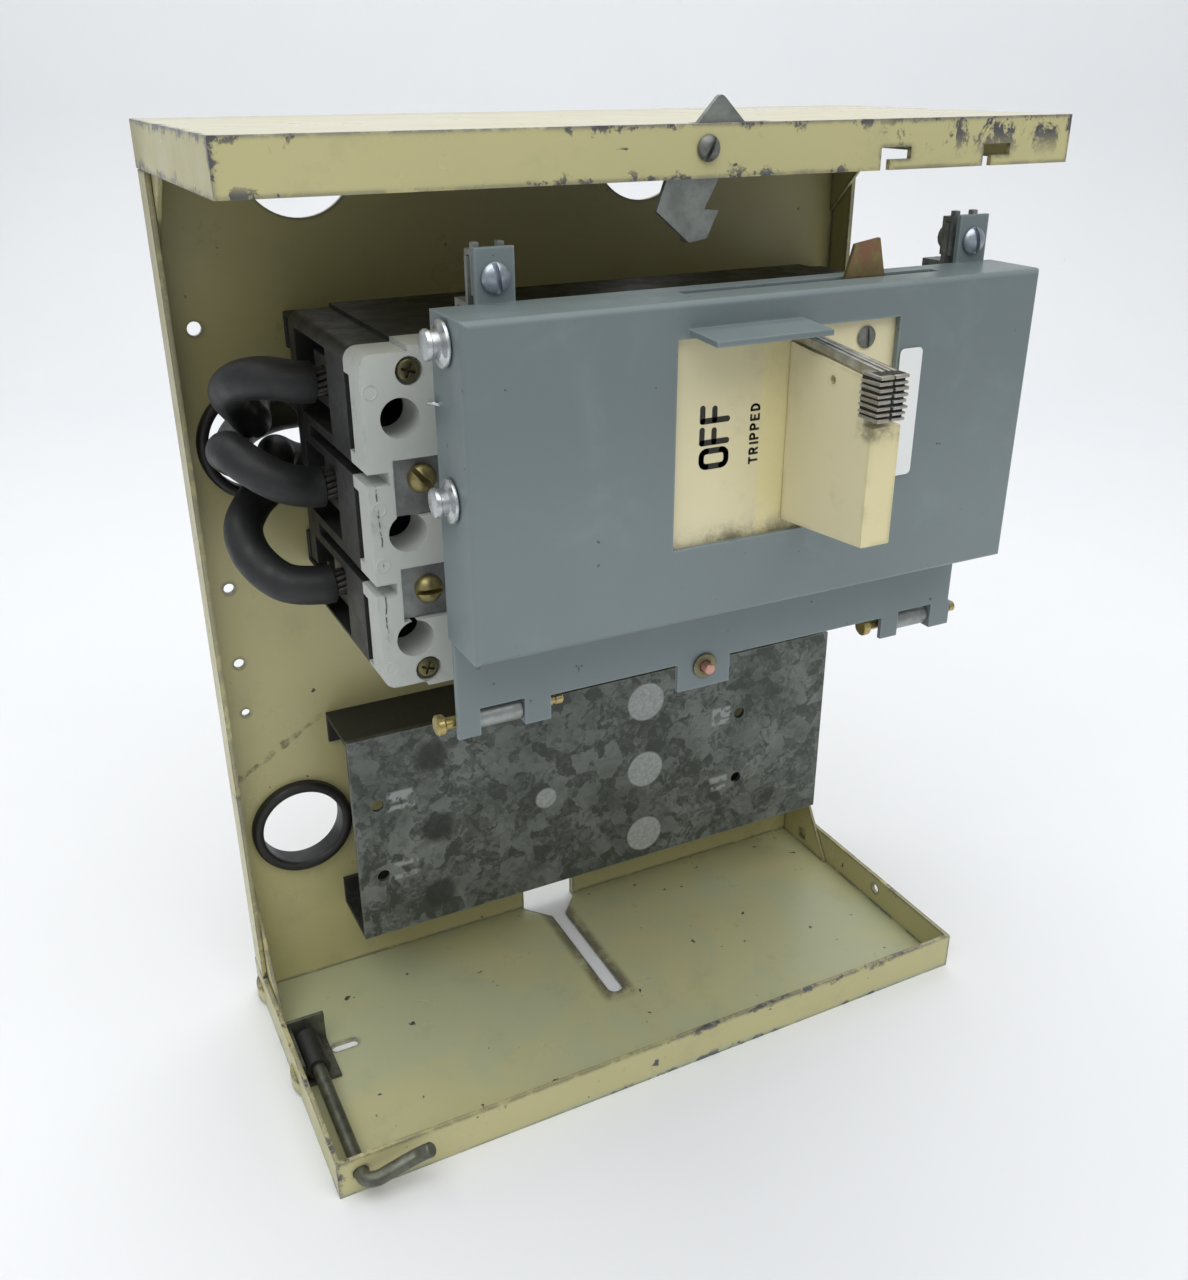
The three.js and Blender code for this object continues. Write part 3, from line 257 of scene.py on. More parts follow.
def cream_paint():
    s = Shader("cream_enamel")
    tone = s.mix(s.noise(9.0), (0.560, 0.515, 0.255), (0.490, 0.455, 0.230))
    # painted shade: the back pan is darkened high up and deep inside, where the top pan shades it
    deep = s.ramp(s.axis("Y"), at(0, 100, 0).y, at(0, 130, 0).y)
    upper = s.ramp(s.axis("Z"), at(0, 0, 150).z, at(0, 0, 300).z)
    tone = s.mix(s.math("MULTIPLY", s.math("MULTIPLY", deep, upper), 0.42), tone, (0.17, 0.145, 0.05))
    # floor of the bottom pan: cloudy dust with a painted reflection and painted shade, mixed toward a darker
    # greenish gray
    floor_pan = s.ramp(s.axis("Z"), at(0, 0, 3.5).z, at(0, 0, 2.2).z)
    dust_and_reflection = s.ramp(s.noise(14.0, 6.0, 0.6, 0.8), 0.35, 0.70)
    dust_and_reflection = s.math("MULTIPLY", s.math("ADD", dust_and_reflection, 0.35, True), s.math("MULTIPLY", floor_pan, 0.62))
    tone = s.mix(dust_and_reflection, tone, (0.40, 0.45, 0.31))
    # darker patches round the keyhole slot
    slot_x = s.ramp(s.math("ABSOLUTE", s.math("SUBTRACT", s.axis("X"), at(150, 0, 0).x)), 0.0100, 0.0056)
    slot_y = s.ramp(s.axis("Y"), at(0, 46, 0).y, at(0, 54, 0).y)
    slot_darkening = s.math("MULTIPLY", s.math("MULTIPLY", slot_x, slot_y), floor_pan)
    slot_darkening = s.math("MULTIPLY", slot_darkening, s.ramp(s.noise(75.0, 7.0, 0.7), 0.32, 0.54))
    tone = s.mix(s.math("MULTIPLY", slot_darkening, 0.85), tone, (0.13, 0.115, 0.07))
    dust = s.ramp(s.noise(38.0, 7.0, 0.7), 0.52, 0.78)
    tone = s.mix(s.math("MULTIPLY", dust, 0.34), tone, (0.30, 0.28, 0.17))
    turned = s.turned(0.0030)
    # grime settles in the folds
    grime = s.math("MULTIPLY", s.ramp(turned, 0.02, 0.25), s.ramp(s.noise(60.0), 0.35, 0.7))
    tone = s.mix(s.math("MULTIPLY", grime, 0.35), tone, (0.22, 0.20, 0.12))
    # the line of dirt left by an older plate on the back pan
    start, end = at(11, 0, 120), at(44, 0, 139)
    slope = (end.z - start.z) / (end.x - start.x)
    level = s.math("ADD", s.math("MULTIPLY", s.math("SUBTRACT", s.axis("X"), start.x), slope), start.z)
    near_line = s.math("ABSOLUTE", s.math("SUBTRACT", s.axis("Z"), level))
    wobble = s.math("MULTIPLY", s.noise(55.0, 6.0), 0.011)
    line = s.ramp(s.math("SUBTRACT", near_line, s.math("SUBTRACT", wobble, 0.0045)), 0.0012, 0.0)
    left_part = s.ramp(s.axis("X"), at(48, 0, 0).x, at(30, 0, 0).x)
    line = s.math("MULTIPLY", s.math("MULTIPLY", line, left_part), s.ramp(s.noise(210.0), 0.42, 0.62))
    tone = s.mix(s.math("MULTIPLY", line, 0.75), tone, (0.10, 0.085, 0.05))
    # sparse dark specks and small chips
    specks = s.ramp(s.noise(170.0, 2.0, 0.5), 0.72, 0.755)
    # long thin scratches on the upper face
    streak = s.noise(1.0, 3.0, 0.5, 0.0, (34.0, 900.0, 60.0))
    top = s.ramp(s.axis("Z"), at(0, 0, 380.2).z, at(0, 0, 380.8).z)
    # painted highlight: the upper face is mixed toward a paler gray, for the glare on it
    tone = s.mix(s.math("MULTIPLY", top, 0.55), tone, (0.55, 0.53, 0.45))
    scratch = s.math("MULTIPLY", s.ramp(streak, 0.64, 0.70), top)
    tone = s.mix(s.math("MULTIPLY", scratch, 0.7), tone, (0.33, 0.19, 0.15))
    # rust bleeds from the knocked edges
    rust = s.math("MULTIPLY", s.ramp(turned, 0.02, 0.3), s.ramp(s.noise(34.0, 8.0, 0.7), 0.55, 0.72))
    tone = s.mix(s.math("MULTIPLY", rust, 0.6), tone, (0.22, 0.11, 0.05))
    # bare steel where the enamel has chipped off the edges
    flake = s.ramp(s.noise(62.0, 8.0, 0.72), 0.44, 0.50)
    hard_flake = s.ramp(s.noise(24.0, 8.0, 0.74), 0.545, 0.585)
    worn_edge = s.math("MULTIPLY", s.ramp(turned, 0.06, 0.22), s.ramp(s.noise(48.0, 6.0, 0.7), 0.34, 0.58))
    tone = s.mix(s.math("MULTIPLY", worn_edge, 0.65), tone, (0.11, 0.095, 0.055))
    chips = s.math("MULTIPLY", s.ramp(turned, 0.07, 0.2), flake)
    big = s.math("MULTIPLY", s.ramp(turned, 0.01, 0.06), hard_flake)
    # the right half of the top lip took most of the knocks
    knocked_x = s.ramp(s.axis("X"), at(205, 0, 0).x, at(235, 0, 0).x)
    knocked_z = s.ramp(s.axis("Z"), at(0, 0, 366).z, at(0, 0, 377).z)
    knocked_y = s.ramp(s.axis("Y"), at(0, 3, 0).y, at(0, 1, 0).y)
    knocked = s.math("MULTIPLY", s.math("MULTIPLY", knocked_x, knocked_z), knocked_y)
    torn = s.ramp(s.noise(85.0, 9.0, 0.78, 0.4), 0.50, 0.54)
    # groups of chips spread a few millimetres in from the shell's outer edges
    near_edge = s.ramp(shell_edge_distance(s), 0.0055, 0.0002)
    group = s.ramp(s.noise(13.0, 2.0, 0.5), 0.40, 0.60)
    corner_x = s.ramp(s.axis("X"), at(40, 0, 0).x, at(8, 0, 0).x)
    corner_z = s.ramp(s.axis("Z"), at(0, 0, 360).z, at(0, 0, 368).z)
    group = s.math("MAXIMUM", group, s.math("MULTIPLY", corner_x, corner_z))
    raised = s.math("MULTIPLY", s.math("MULTIPLY", near_edge, group), 0.118)
    edge_chips = s.ramp(s.math("ADD", s.noise(105.0, 9.0, 0.76), raised), 0.625, 0.655)
    knocks = [s.math("MULTIPLY", knocked, torn), s.math("MULTIPLY", edge_chips, near_edge)]
    bare = s.any_of([chips, big, specks] + knocks)
    s.colour(s.mix(bare, tone, s.mix(s.noise(300.0), (0.055, 0.055, 0.06), (0.16, 0.155, 0.16))))
    s.rough(s.ramp(s.noise(30.0, 6.0), 0.3, 0.75, 0.26, 0.46))
    s.metal(s.math("MULTIPLY", bare, 0.35))
    peel = s.math("MULTIPLY", s.noise(520.0, 2.0), 0.25)
    s.bump(s.math("SUBTRACT", peel, bare), 0.00016, 0.7)
    return s.material


def gray_paint():
    s = Shader("blue_gray_enamel")
    tone = s.mix(s.noise(12.0), (0.192, 0.233, 0.240), (0.168, 0.206, 0.213))
    # painted shade: the cover is darkened towards its top, where less light reaches it
    high_up = s.ramp(s.axis("Z"), at(0, 0, 250).z, at(0, 0, 315).z)
    tone = s.mix(s.math("MULTIPLY", high_up, 0.55), tone, (0.125, 0.158, 0.162))
    smear = s.ramp(s.noise(26.0, 6.0, 0.66, 0.6), 0.5, 0.8)
    tone = s.mix(s.math("MULTIPLY", smear, 0.30), tone, (0.255, 0.305, 0.32))
    turned = s.turned(0.0018)
    # painted highlight: the cover's edges and bends are painted a paler blue-gray
    tone = s.mix(s.math("MULTIPLY", s.ramp(turned, 0.03, 0.4), 0.38), tone, (0.40, 0.47, 0.50))
    specks = s.ramp(s.noise(240.0, 2.0, 0.5), 0.735, 0.765)
    nick = s.math("MULTIPLY", s.ramp(turned, 0.10, 0.4), s.ramp(s.noise(120.0, 6.0, 0.7), 0.60, 0.66))
    marks = s.math("MAXIMUM", specks, nick)
    s.colour(s.mix(s.math("MULTIPLY", marks, 0.8), tone, (0.045, 0.045, 0.045)))
    s.rough(s.ramp(s.noise(22.0, 7.0), 0.3, 0.75, 0.30, 0.50))
    s.bump(s.noise(460.0, 2.0), 0.00004)
    return s.material


DISCS = [(188.4, 124.9, 9.6), (188.5, 88.1, 9.4), (188.5, 51.1, 9.4), (135.6, 86.8, 5.2)]
STAINS = [(81.5, 124), (81.6, 87), (81.4, 51.4)]
WITNESS_MARKS = [
    (231, 108.4, 5.2, 3.0),
    (231, 103.4, 5.2, 1.4),
    (231, 70.5, 5.0, 1.8),
    (231, 65.5, 4.2, 1.3),
    (65.8, 108.2, 6.0, 2.6),
    (65.8, 102.6, 6.4, 1.2),
    (66.2, 73.0, 5.6, 1.2),
    (66.2, 66.6, 5.6, 1.2),
]


def galvanised_steel(discs):
    s = Shader("galvanised_steel" if discs else "galvanised_steel_plain")
    warp = s.add("ShaderNodeTexNoise", {"Vector": s.place, "Scale": 130.0, "Detail": 6.0}).outputs["Color"]
    bent = s.add("ShaderNodeVectorMath", {0: warp, 1: (0.012, 0.012, 0.012)}, operation="MULTIPLY").outputs[0]
    moved = s.add("ShaderNodeVectorMath", {0: s.place, 1: bent}, operation="ADD").outputs[0]
    flower = s.add("ShaderNodeRGBToBW", {0: s.cells(120.0, moved)}).outputs[0]
    small = s.add("ShaderNodeRGBToBW", {0: s.cells(420.0, moved)}).outputs[0]
    fine = s.noise(240.0, 7.0, 0.72, 0.8)
    crystals = s.math("ADD", s.math("MULTIPLY", flower, 0.38), s.math("MULTIPLY", small, 0.27))
    grain = s.math("ADD", crystals, s.math("MULTIPLY", fine, 0.35))
    cloud = s.ramp(s.noise(22.0, 7.0, 0.7, 0.5), 0.33, 0.68)
    contrast = s.ramp(grain, 0.33, 0.66)
    tone = s.mix(contrast, (0.068, 0.076, 0.067), (0.235, 0.252, 0.235))
    tone = s.mix(s.math("MULTIPLY", cloud, 0.60), tone, (0.045, 0.052, 0.042))
    pale = s.ramp(s.noise(48.0, 8.0, 0.75, 1.2), 0.60, 0.80)
    tone = s.mix(s.math("MULTIPLY", pale, 0.55), tone, (0.33, 0.35, 0.34))
    edge = s.edges(0.0012, 0.05, 0.4)
    tone = s.mix(s.math("MULTIPLY", edge, 0.5), tone, (0.34, 0.36, 0.35))
    # everything behind the front face lies in soot and shadow
    behind = s.ramp(s.axis("Y"), at(0, 101, 0).y, at(0, 104, 0).y)
    tone = s.mix(s.math("MULTIPLY", behind, 0.8), tone, (0.03, 0.03, 0.027))
    rough = s.ramp(grain, 0.2, 0.8, 0.42, 0.62)
    if discs:
        stain = s.any_of([s.spot(x, z, 7.4, 0.0022) for x, z in STAINS])
        tone = s.mix(s.math("MULTIPLY", stain, 0.78), tone, (0.032, 0.035, 0.030))
        clean = s.any_of([s.spot(x, z, r) for x, z, r in DISCS])
        speckle = s.ramp(s.noise(500.0, 3.0), 0.35, 0.7)
        bright = s.mix(speckle, (0.34, 0.36, 0.35), (0.46, 0.48, 0.47))
        tone = s.mix(s.math("MULTIPLY", clean, 0.95), tone, bright)
        torn = s.ramp(s.noise(260.0, 5.0), 0.40, 0.52)
        mark = s.math("MULTIPLY", s.any_of([s.patch(*row) for row in WITNESS_MARKS]), torn)
        tone = s.mix(s.math("MULTIPLY", mark, 0.8), tone, (0.42, 0.44, 0.44))
    s.colour(tone)
    s.rough(rough)
    s.metal(s.ramp(grain, 0.0, 1.0, 0.35, 0.6))
    s.bump(grain, 0.00006)
    return s.material


def plated_metal(name, light, dark, metallic, rough, tint=None, wear=0.5):
    s = Shader(name, Metallic=metallic)
    tone = s.mix(s.ramp(s.noise(140.0, 6.0, 0.7), 0.3, 0.72), light, dark)
    if tint:
        tone = s.mix(s.ramp(s.noise(75.0, 3.0, 0.5, 1.4), 0.42, 0.62), tone, tint)
    grime = s.math("MULTIPLY", s.edges(0.0014, 0.05, 0.5), s.ramp(s.noise(260.0, 5.0), 0.4, 0.62))
    tone = s.mix(s.math("MULTIPLY", grime, wear), tone, tuple(0.25 * c for c in dark))
    s.colour(tone)
    s.rough(s.ramp(s.noise(320.0, 6.0, 0.7), 0.3, 0.75, rough[0], rough[1]))
    brushed = s.noise(1.0, 3.0, 0.5, 0.0, (260.0, 260.0, 2600.0))
    s.bump(brushed, 0.00002)
    return s.material


def black_moulding():
    s = Shader("black_thermoset")
    tone = s.mix(s.noise(40.0), (0.012, 0.012, 0.011), (0.021, 0.021, 0.019))
    dust = s.ramp(s.noise(75.0, 8.0, 0.72), 0.54, 0.84)
    tone = s.mix(s.math("MULTIPLY", dust, 0.25), tone, (0.085, 0.082, 0.068))
    edge = s.edges(0.0010, 0.05, 0.4)
    tone = s.mix(s.math("MULTIPLY", edge, 0.35), tone, (0.12, 0.125, 0.135))
    s.colour(tone)
    s.rough(s.ramp(s.noise(90.0, 6.0), 0.3, 0.7, 0.38, 0.62))
    s.bump(s.noise(900.0, 3.0), 0.00005)
    return s.material


def gray_moulding():
    s = Shader("pale_gray_thermoset")
    tone = s.mix(s.noise(30.0), (0.55, 0.57, 0.53), (0.47, 0.49, 0.46))
    smudge = s.ramp(s.noise(65.0, 8.0, 0.74, 0.6), 0.53, 0.80)
    tone = s.mix(s.math("MULTIPLY", smudge, 0.5), tone, (0.20, 0.20, 0.18))
    # black rub line down the outer edge of the lower two poles
    wander = s.math("MULTIPLY", s.math("SUBTRACT", s.noise(46.0, 4.0), 0.5), 0.004)
    off = s.math("SUBTRACT", s.axis("X"), at(41.2, 0, 0).x)
    rub = s.ramp(s.math("ABSOLUTE", s.math("ADD", off, wander)), 0.00042, 0.0001)
    rub = s.math("MULTIPLY", rub, s.ramp(s.noise(95.0, 7.0, 0.75), 0.49, 0.55))
    below = s.ramp(s.axis("Z"), at(0, 0, 279).z, at(0, 0, 276).z)
    rub = s.math("MULTIPLY", rub, below)
    tone = s.mix(s.math("MULTIPLY", rub, 0.9), tone, (0.02, 0.02, 0.02))
    fold = s.math("MULTIPLY", s.edges(0.0016, 0.05, 0.5), s.ramp(s.noise(180.0, 6.0), 0.50, 0.66))
    tone = s.mix(s.math("MULTIPLY", fold, 0.65), tone, (0.09, 0.085, 0.07))
    s.colour(tone)
    s.rough(s.ramp(s.noise(120.0, 6.0), 0.3, 0.7, 0.42, 0.62))
    s.bump(s.noise(700.0, 3.0), 0.00006)
    return s.material


def ivory_plastic():
    s = Shader("ivory_plastic", Subsurface_Weight=0.04)
    s.bsdf.inputs["Subsurface Radius"].default_value = (0.004, 0.003, 0.002)
    tone = s.mix(s.noise(18.0), (0.76, 0.70, 0.46), (0.68, 0.625, 0.40))
    # a yellower band runs up the plate beside the handle
    band = s.ramp(s.math("ABSOLUTE", s.math("SUBTRACT", s.axis("X"), at(162, 0, 0).x)), 0.0062, 0.0046)
    flat = s.ramp(s.axis("Y"), at(0, -28.6, 0).y, at(0, -27.9, 0).y)
    tone = s.mix(s.math("MULTIPLY", s.math("MULTIPLY", band, flat), 0.75), tone, (0.76, 0.68, 0.36))
    nose = s.ramp(s.axis("Y"), at(0, -69.0, 0).y, at(0, -69.7, 0).y)
    tone = s.mix(s.math("MULTIPLY", nose, 0.7), tone, (0.74, 0.66, 0.36))
    grime = s.math("MULTIPLY", s.edges(0.004, 0.02, 0.3), s.ramp(s.noise(70.0, 7.0), 0.40, 0.7))
    tone = s.mix(s.math("MULTIPLY", grime, 0.55), tone, (0.27, 0.23, 0.12))
    smudge = s.ramp(s.noise(45.0, 7.0, 0.7), 0.55, 0.8)
    tone = s.mix(s.math("MULTIPLY", smudge, 0.30), tone, (0.42, 0.38, 0.26))
    # painted shadow along the foot of the plate and under the lockout leaves
    foot = s.math("MULTIPLY", s.ramp(s.axis("Z"), at(0, 0, 264).z, at(0, 0, 256).z), flat)
    nose_low = s.ramp(s.math("ABSOLUTE", s.math("SUBTRACT", s.axis("Z"), at(0, 0, 299).z)), 0.0045, 0.001)
    nose_near = s.ramp(s.axis("Y"), at(0, -60, 0).y, at(0, -66, 0).y)
    plate_shadow = s.math("MAXIMUM", foot, s.math("MULTIPLY", nose_low, nose_near))
    plate_shadow = s.math("MULTIPLY", plate_shadow, s.ramp(s.noise(120.0, 7.0, 0.7), 0.38, 0.62))
    tone = s.mix(s.math("MULTIPLY", plate_shadow, 0.7), tone, (0.12, 0.10, 0.06))
    s.colour(tone)
    s.rough(s.ramp(s.noise(60.0, 6.0), 0.3, 0.7, 0.30, 0.48))
    s.bump(s.noise(420.0, 3.0), 0.00003)
    return s.material


def cable_jacket():
    s = Shader("black_cable_jacket")
    tone = s.mix(s.noise(60.0, 6.0), (0.010, 0.011, 0.011), (0.021, 0.022, 0.022))
    dust = s.ramp(s.noise(110.0, 8.0, 0.75), 0.56, 0.84)
    tone = s.mix(s.math("MULTIPLY", dust, 0.25), tone, (0.07, 0.07, 0.065))
    s.colour(tone)
    s.rough(s.ramp(s.noise(150.0, 5.0), 0.3, 0.7, 0.46, 0.64))
    s.bump(s.noise(640.0, 4.0), 0.00012)
    return s.material


def label_film():
    s = Shader("label_film", Roughness=0.42)
    tone = s.mix(s.noise(60.0), (0.83, 0.845, 0.84), (0.77, 0.785, 0.78))
    rubbed = s.ramp(s.noise(210.0, 7.0, 0.7), 0.60, 0.72)
    s.colour(s.mix(s.math("MULTIPLY", rubbed, 0.22), tone, (0.42, 0.42, 0.40)))
    s.bump(s.noise(300.0), 0.00003)
    return s.material


def black_ink():
    s = Shader("black_ink")
    s.colour(s.mix(s.noise(400.0, 5.0), (0.010, 0.010, 0.010), (0.022, 0.021, 0.019)))
    s.rough(s.ramp(s.noise(200.0), 0.3, 0.7, 0.4, 0.6))
    return s.material


def floor_material():
    s = Shader("pale_floor", Roughness=0.6)
    tone = s.mix(s.noise(3.0), (0.86, 0.87, 0.88), (0.80, 0.81, 0.83))
    fleck = s.ramp(s.noise(55.0, 9.0, 0.75), 0.69, 0.74)
    s.colour(s.mix(s.math("MULTIPLY", fleck, 0.45), tone, (0.35, 0.33, 0.32)))
    s.bump(s.noise(60.0), 0.0002)
    return s.material


FINISH = {
    "painted_cream": cream_paint(),
    "painted_gray": gray_paint(),
    "galvanised": galvanised_steel(True),
    "bright_zinc": plated_metal("bright_zinc", (0.66, 0.68, 0.69), (0.42, 0.44, 0.45), 0.85, (0.22, 0.42)),
    "yellow_zinc": plated_metal(
        "yellow_zinc", (0.55, 0.45, 0.18), (0.36, 0.29, 0.10), 0.9, (0.24, 0.42), (0.45, 0.36, 0.20)
    ),
    "bare_steel": plated_metal("bare_steel", (0.24, 0.25, 0.23), (0.12, 0.12, 0.11), 0.7, (0.38, 0.6)),
    "black_moulding": black_moulding(),
    "gray_moulding": gray_moulding(),
    "ivory_plastic": ivory_plastic(),
    "black_rubber": cable_jacket(),
    "copper": plated_metal("dull_copper", (0.72, 0.40, 0.33), (0.52, 0.27, 0.21), 0.6, (0.35, 0.55)),
    "label_film": label_film(),
}
PLAIN_CHANNEL = galvanised_steel(False)
DULL_ZINC = plated_metal("dull_zinc", (0.36, 0.38, 0.37), (0.24, 0.25, 0.24), 0.75, (0.34, 0.55))
OLIVE_ZINC = plated_metal("olive_zinc", (0.26, 0.25, 0.15), (0.17, 0.16, 0.09), 0.7, (0.4, 0.6))
TAB_ZINC = plated_metal(
    "tab_zinc", (0.30, 0.24, 0.11), (0.20, 0.15, 0.07), 0.75, (0.3, 0.5), (0.28, 0.15, 0.09)
)
DARK_SCREW = plated_metal("dark_screw", (0.20, 0.18, 0.09), (0.10, 0.09, 0.05), 0.8, (0.3, 0.5))
# painted shade: a darkened zinc for the line lugs, standing for the shade inside the breaker's bays
SHADED_LUG_ZINC = plated_metal("shaded_lug_zinc", (0.20, 0.20, 0.19), (0.09, 0.09, 0.085), 0.8, (0.34, 0.55))
GOLD_SCREW = plated_metal("gold_screw", (0.36, 0.31, 0.14), (0.22, 0.18, 0.08), 0.85, (0.32, 0.5))
BLUE_ZINC = plated_metal("blue_zinc", (0.45, 0.50, 0.56), (0.26, 0.29, 0.33), 0.85, (0.28, 0.5))
LEAF_STEEL = plated_metal(
    "leaf_steel", (0.60, 0.61, 0.59), (0.34, 0.34, 0.32), 0.8, (0.30, 0.5), (0.40, 0.37, 0.31)
)
LATCH_ZINC = plated_metal("latch_zinc", (0.30, 0.32, 0.30), (0.20, 0.215, 0.20), 0.8, (0.34, 0.52))
ROD_STEEL = plated_metal("rod_steel", (0.17, 0.18, 0.14), (0.085, 0.085, 0.065), 0.7, (0.36, 0.55))
# painted shade: near-black steel for the block seen in the gaps between the hasp leaves
LEAF_GAP_SHADE = plated_metal("leaf_gap_shade_steel", (0.035, 0.034, 0.03), (0.015, 0.015, 0.013), 0.3, (0.5, 0.7))
STRANDS = plated_metal("tinned_strands", (0.20, 0.19, 0.17), (0.08, 0.075, 0.065), 0.8, (0.35, 0.6))
INK = black_ink()


# ---------- mesh building ----------


def mesh_object(name, vertices, faces):
    mesh = bpy.data.meshes.new(name)
    mesh.from_pydata([tuple(v) for v in vertices], [], faces)
    mesh.validate()
    piece = bpy.data.objects.new(name, mesh)
    bpy.context.scene.collection.objects.link(piece)
    return piece


def apply_modifiers(piece):
    bpy.context.view_layer.update()
    graph = bpy.context.evaluated_depsgraph_get()
    mesh = bpy.data.meshes.new_from_object(piece.evaluated_get(graph))
    piece.modifiers.clear()
    piece.data = mesh
    return piece


def smooth(piece, angle=38):
    mesh = piece.data
    mesh.polygons.foreach_set("use_smooth", [True] * len(mesh.polygons))
    mesh.set_sharp_from_angle(angle=math.radians(angle))
    mesh.update()


def round_edges(piece, width, segments=2, angle=32):
    bevel = piece.modifiers.new("bevel", "BEVEL")
    bevel.width = width * MM
    bevel.segments = segments
    bevel.limit_method = "ANGLE"
    bevel.angle_limit = math.radians(angle)
    bevel.use_clamp_overlap = True
    bevel.miter_outer = "MITER_ARC"
    apply_modifiers(piece)
    smooth(piece)
    weighted = piece.modifiers.new("weighted", "WEIGHTED_NORMAL")
    weighted.keep_sharp = True
    apply_modifiers(piece)


def cut(piece, *tools):
    for tool in tools:
        modifier = piece.modifiers.new("cut", "BOOLEAN")
        modifier.operation = "DIFFERENCE"
        modifier.solver = "EXACT"
        modifier.object = tool
    apply_modifiers(piece)
    for tool in tools:
        bpy.data.objects.remove(tool)
    return piece


def finish(piece, node, material=None, replace=True):
    """Gives a piece its material and slot, and lets it ride where its CAD node rides."""
    piece.data.materials.clear()
    piece.data.materials.append(material or FINISH[SLOT_OF[node]])
    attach(piece, BODY_OF[node])
    if replace:
        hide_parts(node)
    return piece


def cad_copy(node):
    """The node's own solid as a new mesh, with its flat faces made whole again."""
    source = frame["nodes"][node].data
    work = bmesh.new()
    work.from_mesh(source)
    bmesh.ops.remove_doubles(work, verts=work.verts, dist=2e-6)
    bmesh.ops.dissolve_limit(work, angle_limit=math.radians(1.5), verts=work.verts, edges=work.edges)
    vertices = [v.co.copy() for v in work.verts]
    work.verts.index_update()
    faces = [[v.index for v in face.verts] for face in work.faces]
    work.free()
    return mesh_object(node + ".fine", vertices, faces)


def refined(node, width=0.35, segments=2, material=None, cutters=()):
    piece = cad_copy(node)
    if cutters:
        cut(piece, *cutters)
    round_edges(piece, width, segments)
    return finish(piece, node, material)


def block(x, y, z, name="block"):
    corners = [at(i, j, k) for i in x for j in y for k in z]
    faces = [(0, 1, 3, 2), (4, 6, 7, 5), (0, 4, 5, 1), (2, 3, 7, 6), (0, 2, 6, 4), (1, 5, 7, 3)]
    return mesh_object(name, corners, faces)


AXES = {
    "X": (Vector((0, 1, 0)), Vector((0, 0, 1)), Vector((1, 0, 0))),
    "Y": (Vector((0, 0, 1)), Vector((1, 0, 0)), Vector((0, 1, 0))),
    "Z": (Vector((1, 0, 0)), Vector((0, 1, 0)), Vector((0, 0, 1))),
}


def lathe(name, profile, centre, axis, sides=64):
    """Solid of revolution. The profile is radius and height along the axis, in millimetres."""
    u, v, along = AXES[axis]
    start = at(*centre)
    vertices, rings = [], []
    for radius, height in profile:
        if radius == 0:
            rings.append([len(vertices)])
            vertices.append(start + along * height * MM)
            continue
        ring = []
        for i in range(sides):
            angle = 2 * math.pi * i / sides
            ring.append(len(vertices))
            out = u * math.cos(angle) + v * math.sin(angle)
            vertices.append(start + (along * height + out * radius) * MM)
        rings.append(ring)
    faces = []
    closed = len(rings[0]) > 1 and len(rings[-1]) > 1
    pairs = list(zip(rings, rings[1:])) + ([(rings[-1], rings[0])] if closed else [])
    for a, b in pairs:
        for i in range(sides):
            j = (i + 1) % sides
            if len(a) == 1:
                faces.append((a[0], b[i], b[j]))
            elif len(b) == 1:
                faces.append((a[j], a[i], b[0]))
            else:
                faces.append((a[i], b[i], b[j], a[j]))
    piece = mesh_object(name, vertices, faces)
    point_outwards(piece)
    return piece


def point_outwards(piece):
    work = bmesh.new()
    work.from_mesh(piece.data)
    bmesh.ops.recalc_face_normals(work, faces=work.faces)
    if work.calc_volume(signed=True) < 0:
        bmesh.ops.reverse_faces(work, faces=work.faces)
    work.to_mesh(piece.data)
    work.free()


def smooth_route(points, steps=12):
    """Centripetal Catmull-Rom curve through the points, the same as the solid's own route."""
    knots = [Vector(p) for p in points]
    knots = [2 * knots[0] - knots[1]] + knots + [2 * knots[-1] - knots[-2]]
    route = []
    for a, b, c, d in zip(knots, knots[1:], knots[2:], knots[3:]):
        t1 = (b - a).length ** 0.5
        t2 = t1 + (c - b).length ** 0.5
        t3 = t2 + (d - c).length ** 0.5
        for i in range(steps):
            t = t1 + (t2 - t1) * i / steps
            ab = a * (t1 - t) / t1 + b * t / t1
            bc = b * (t2 - t) / (t2 - t1) + c * (t - t1) / (t2 - t1)
            cd = c * (t3 - t) / (t3 - t2) + d * (t - t2) / (t3 - t2)
            abc = ab * (t2 - t) / t2 + bc * t / t2
            bcd = bc * (t3 - t) / (t3 - t1) + cd * (t - t1) / (t3 - t1)
            route.append(abc * (t2 - t) / (t2 - t1) + bcd * (t - t1) / (t2 - t1))
    route.append(Vector(points[-1]))
    return route


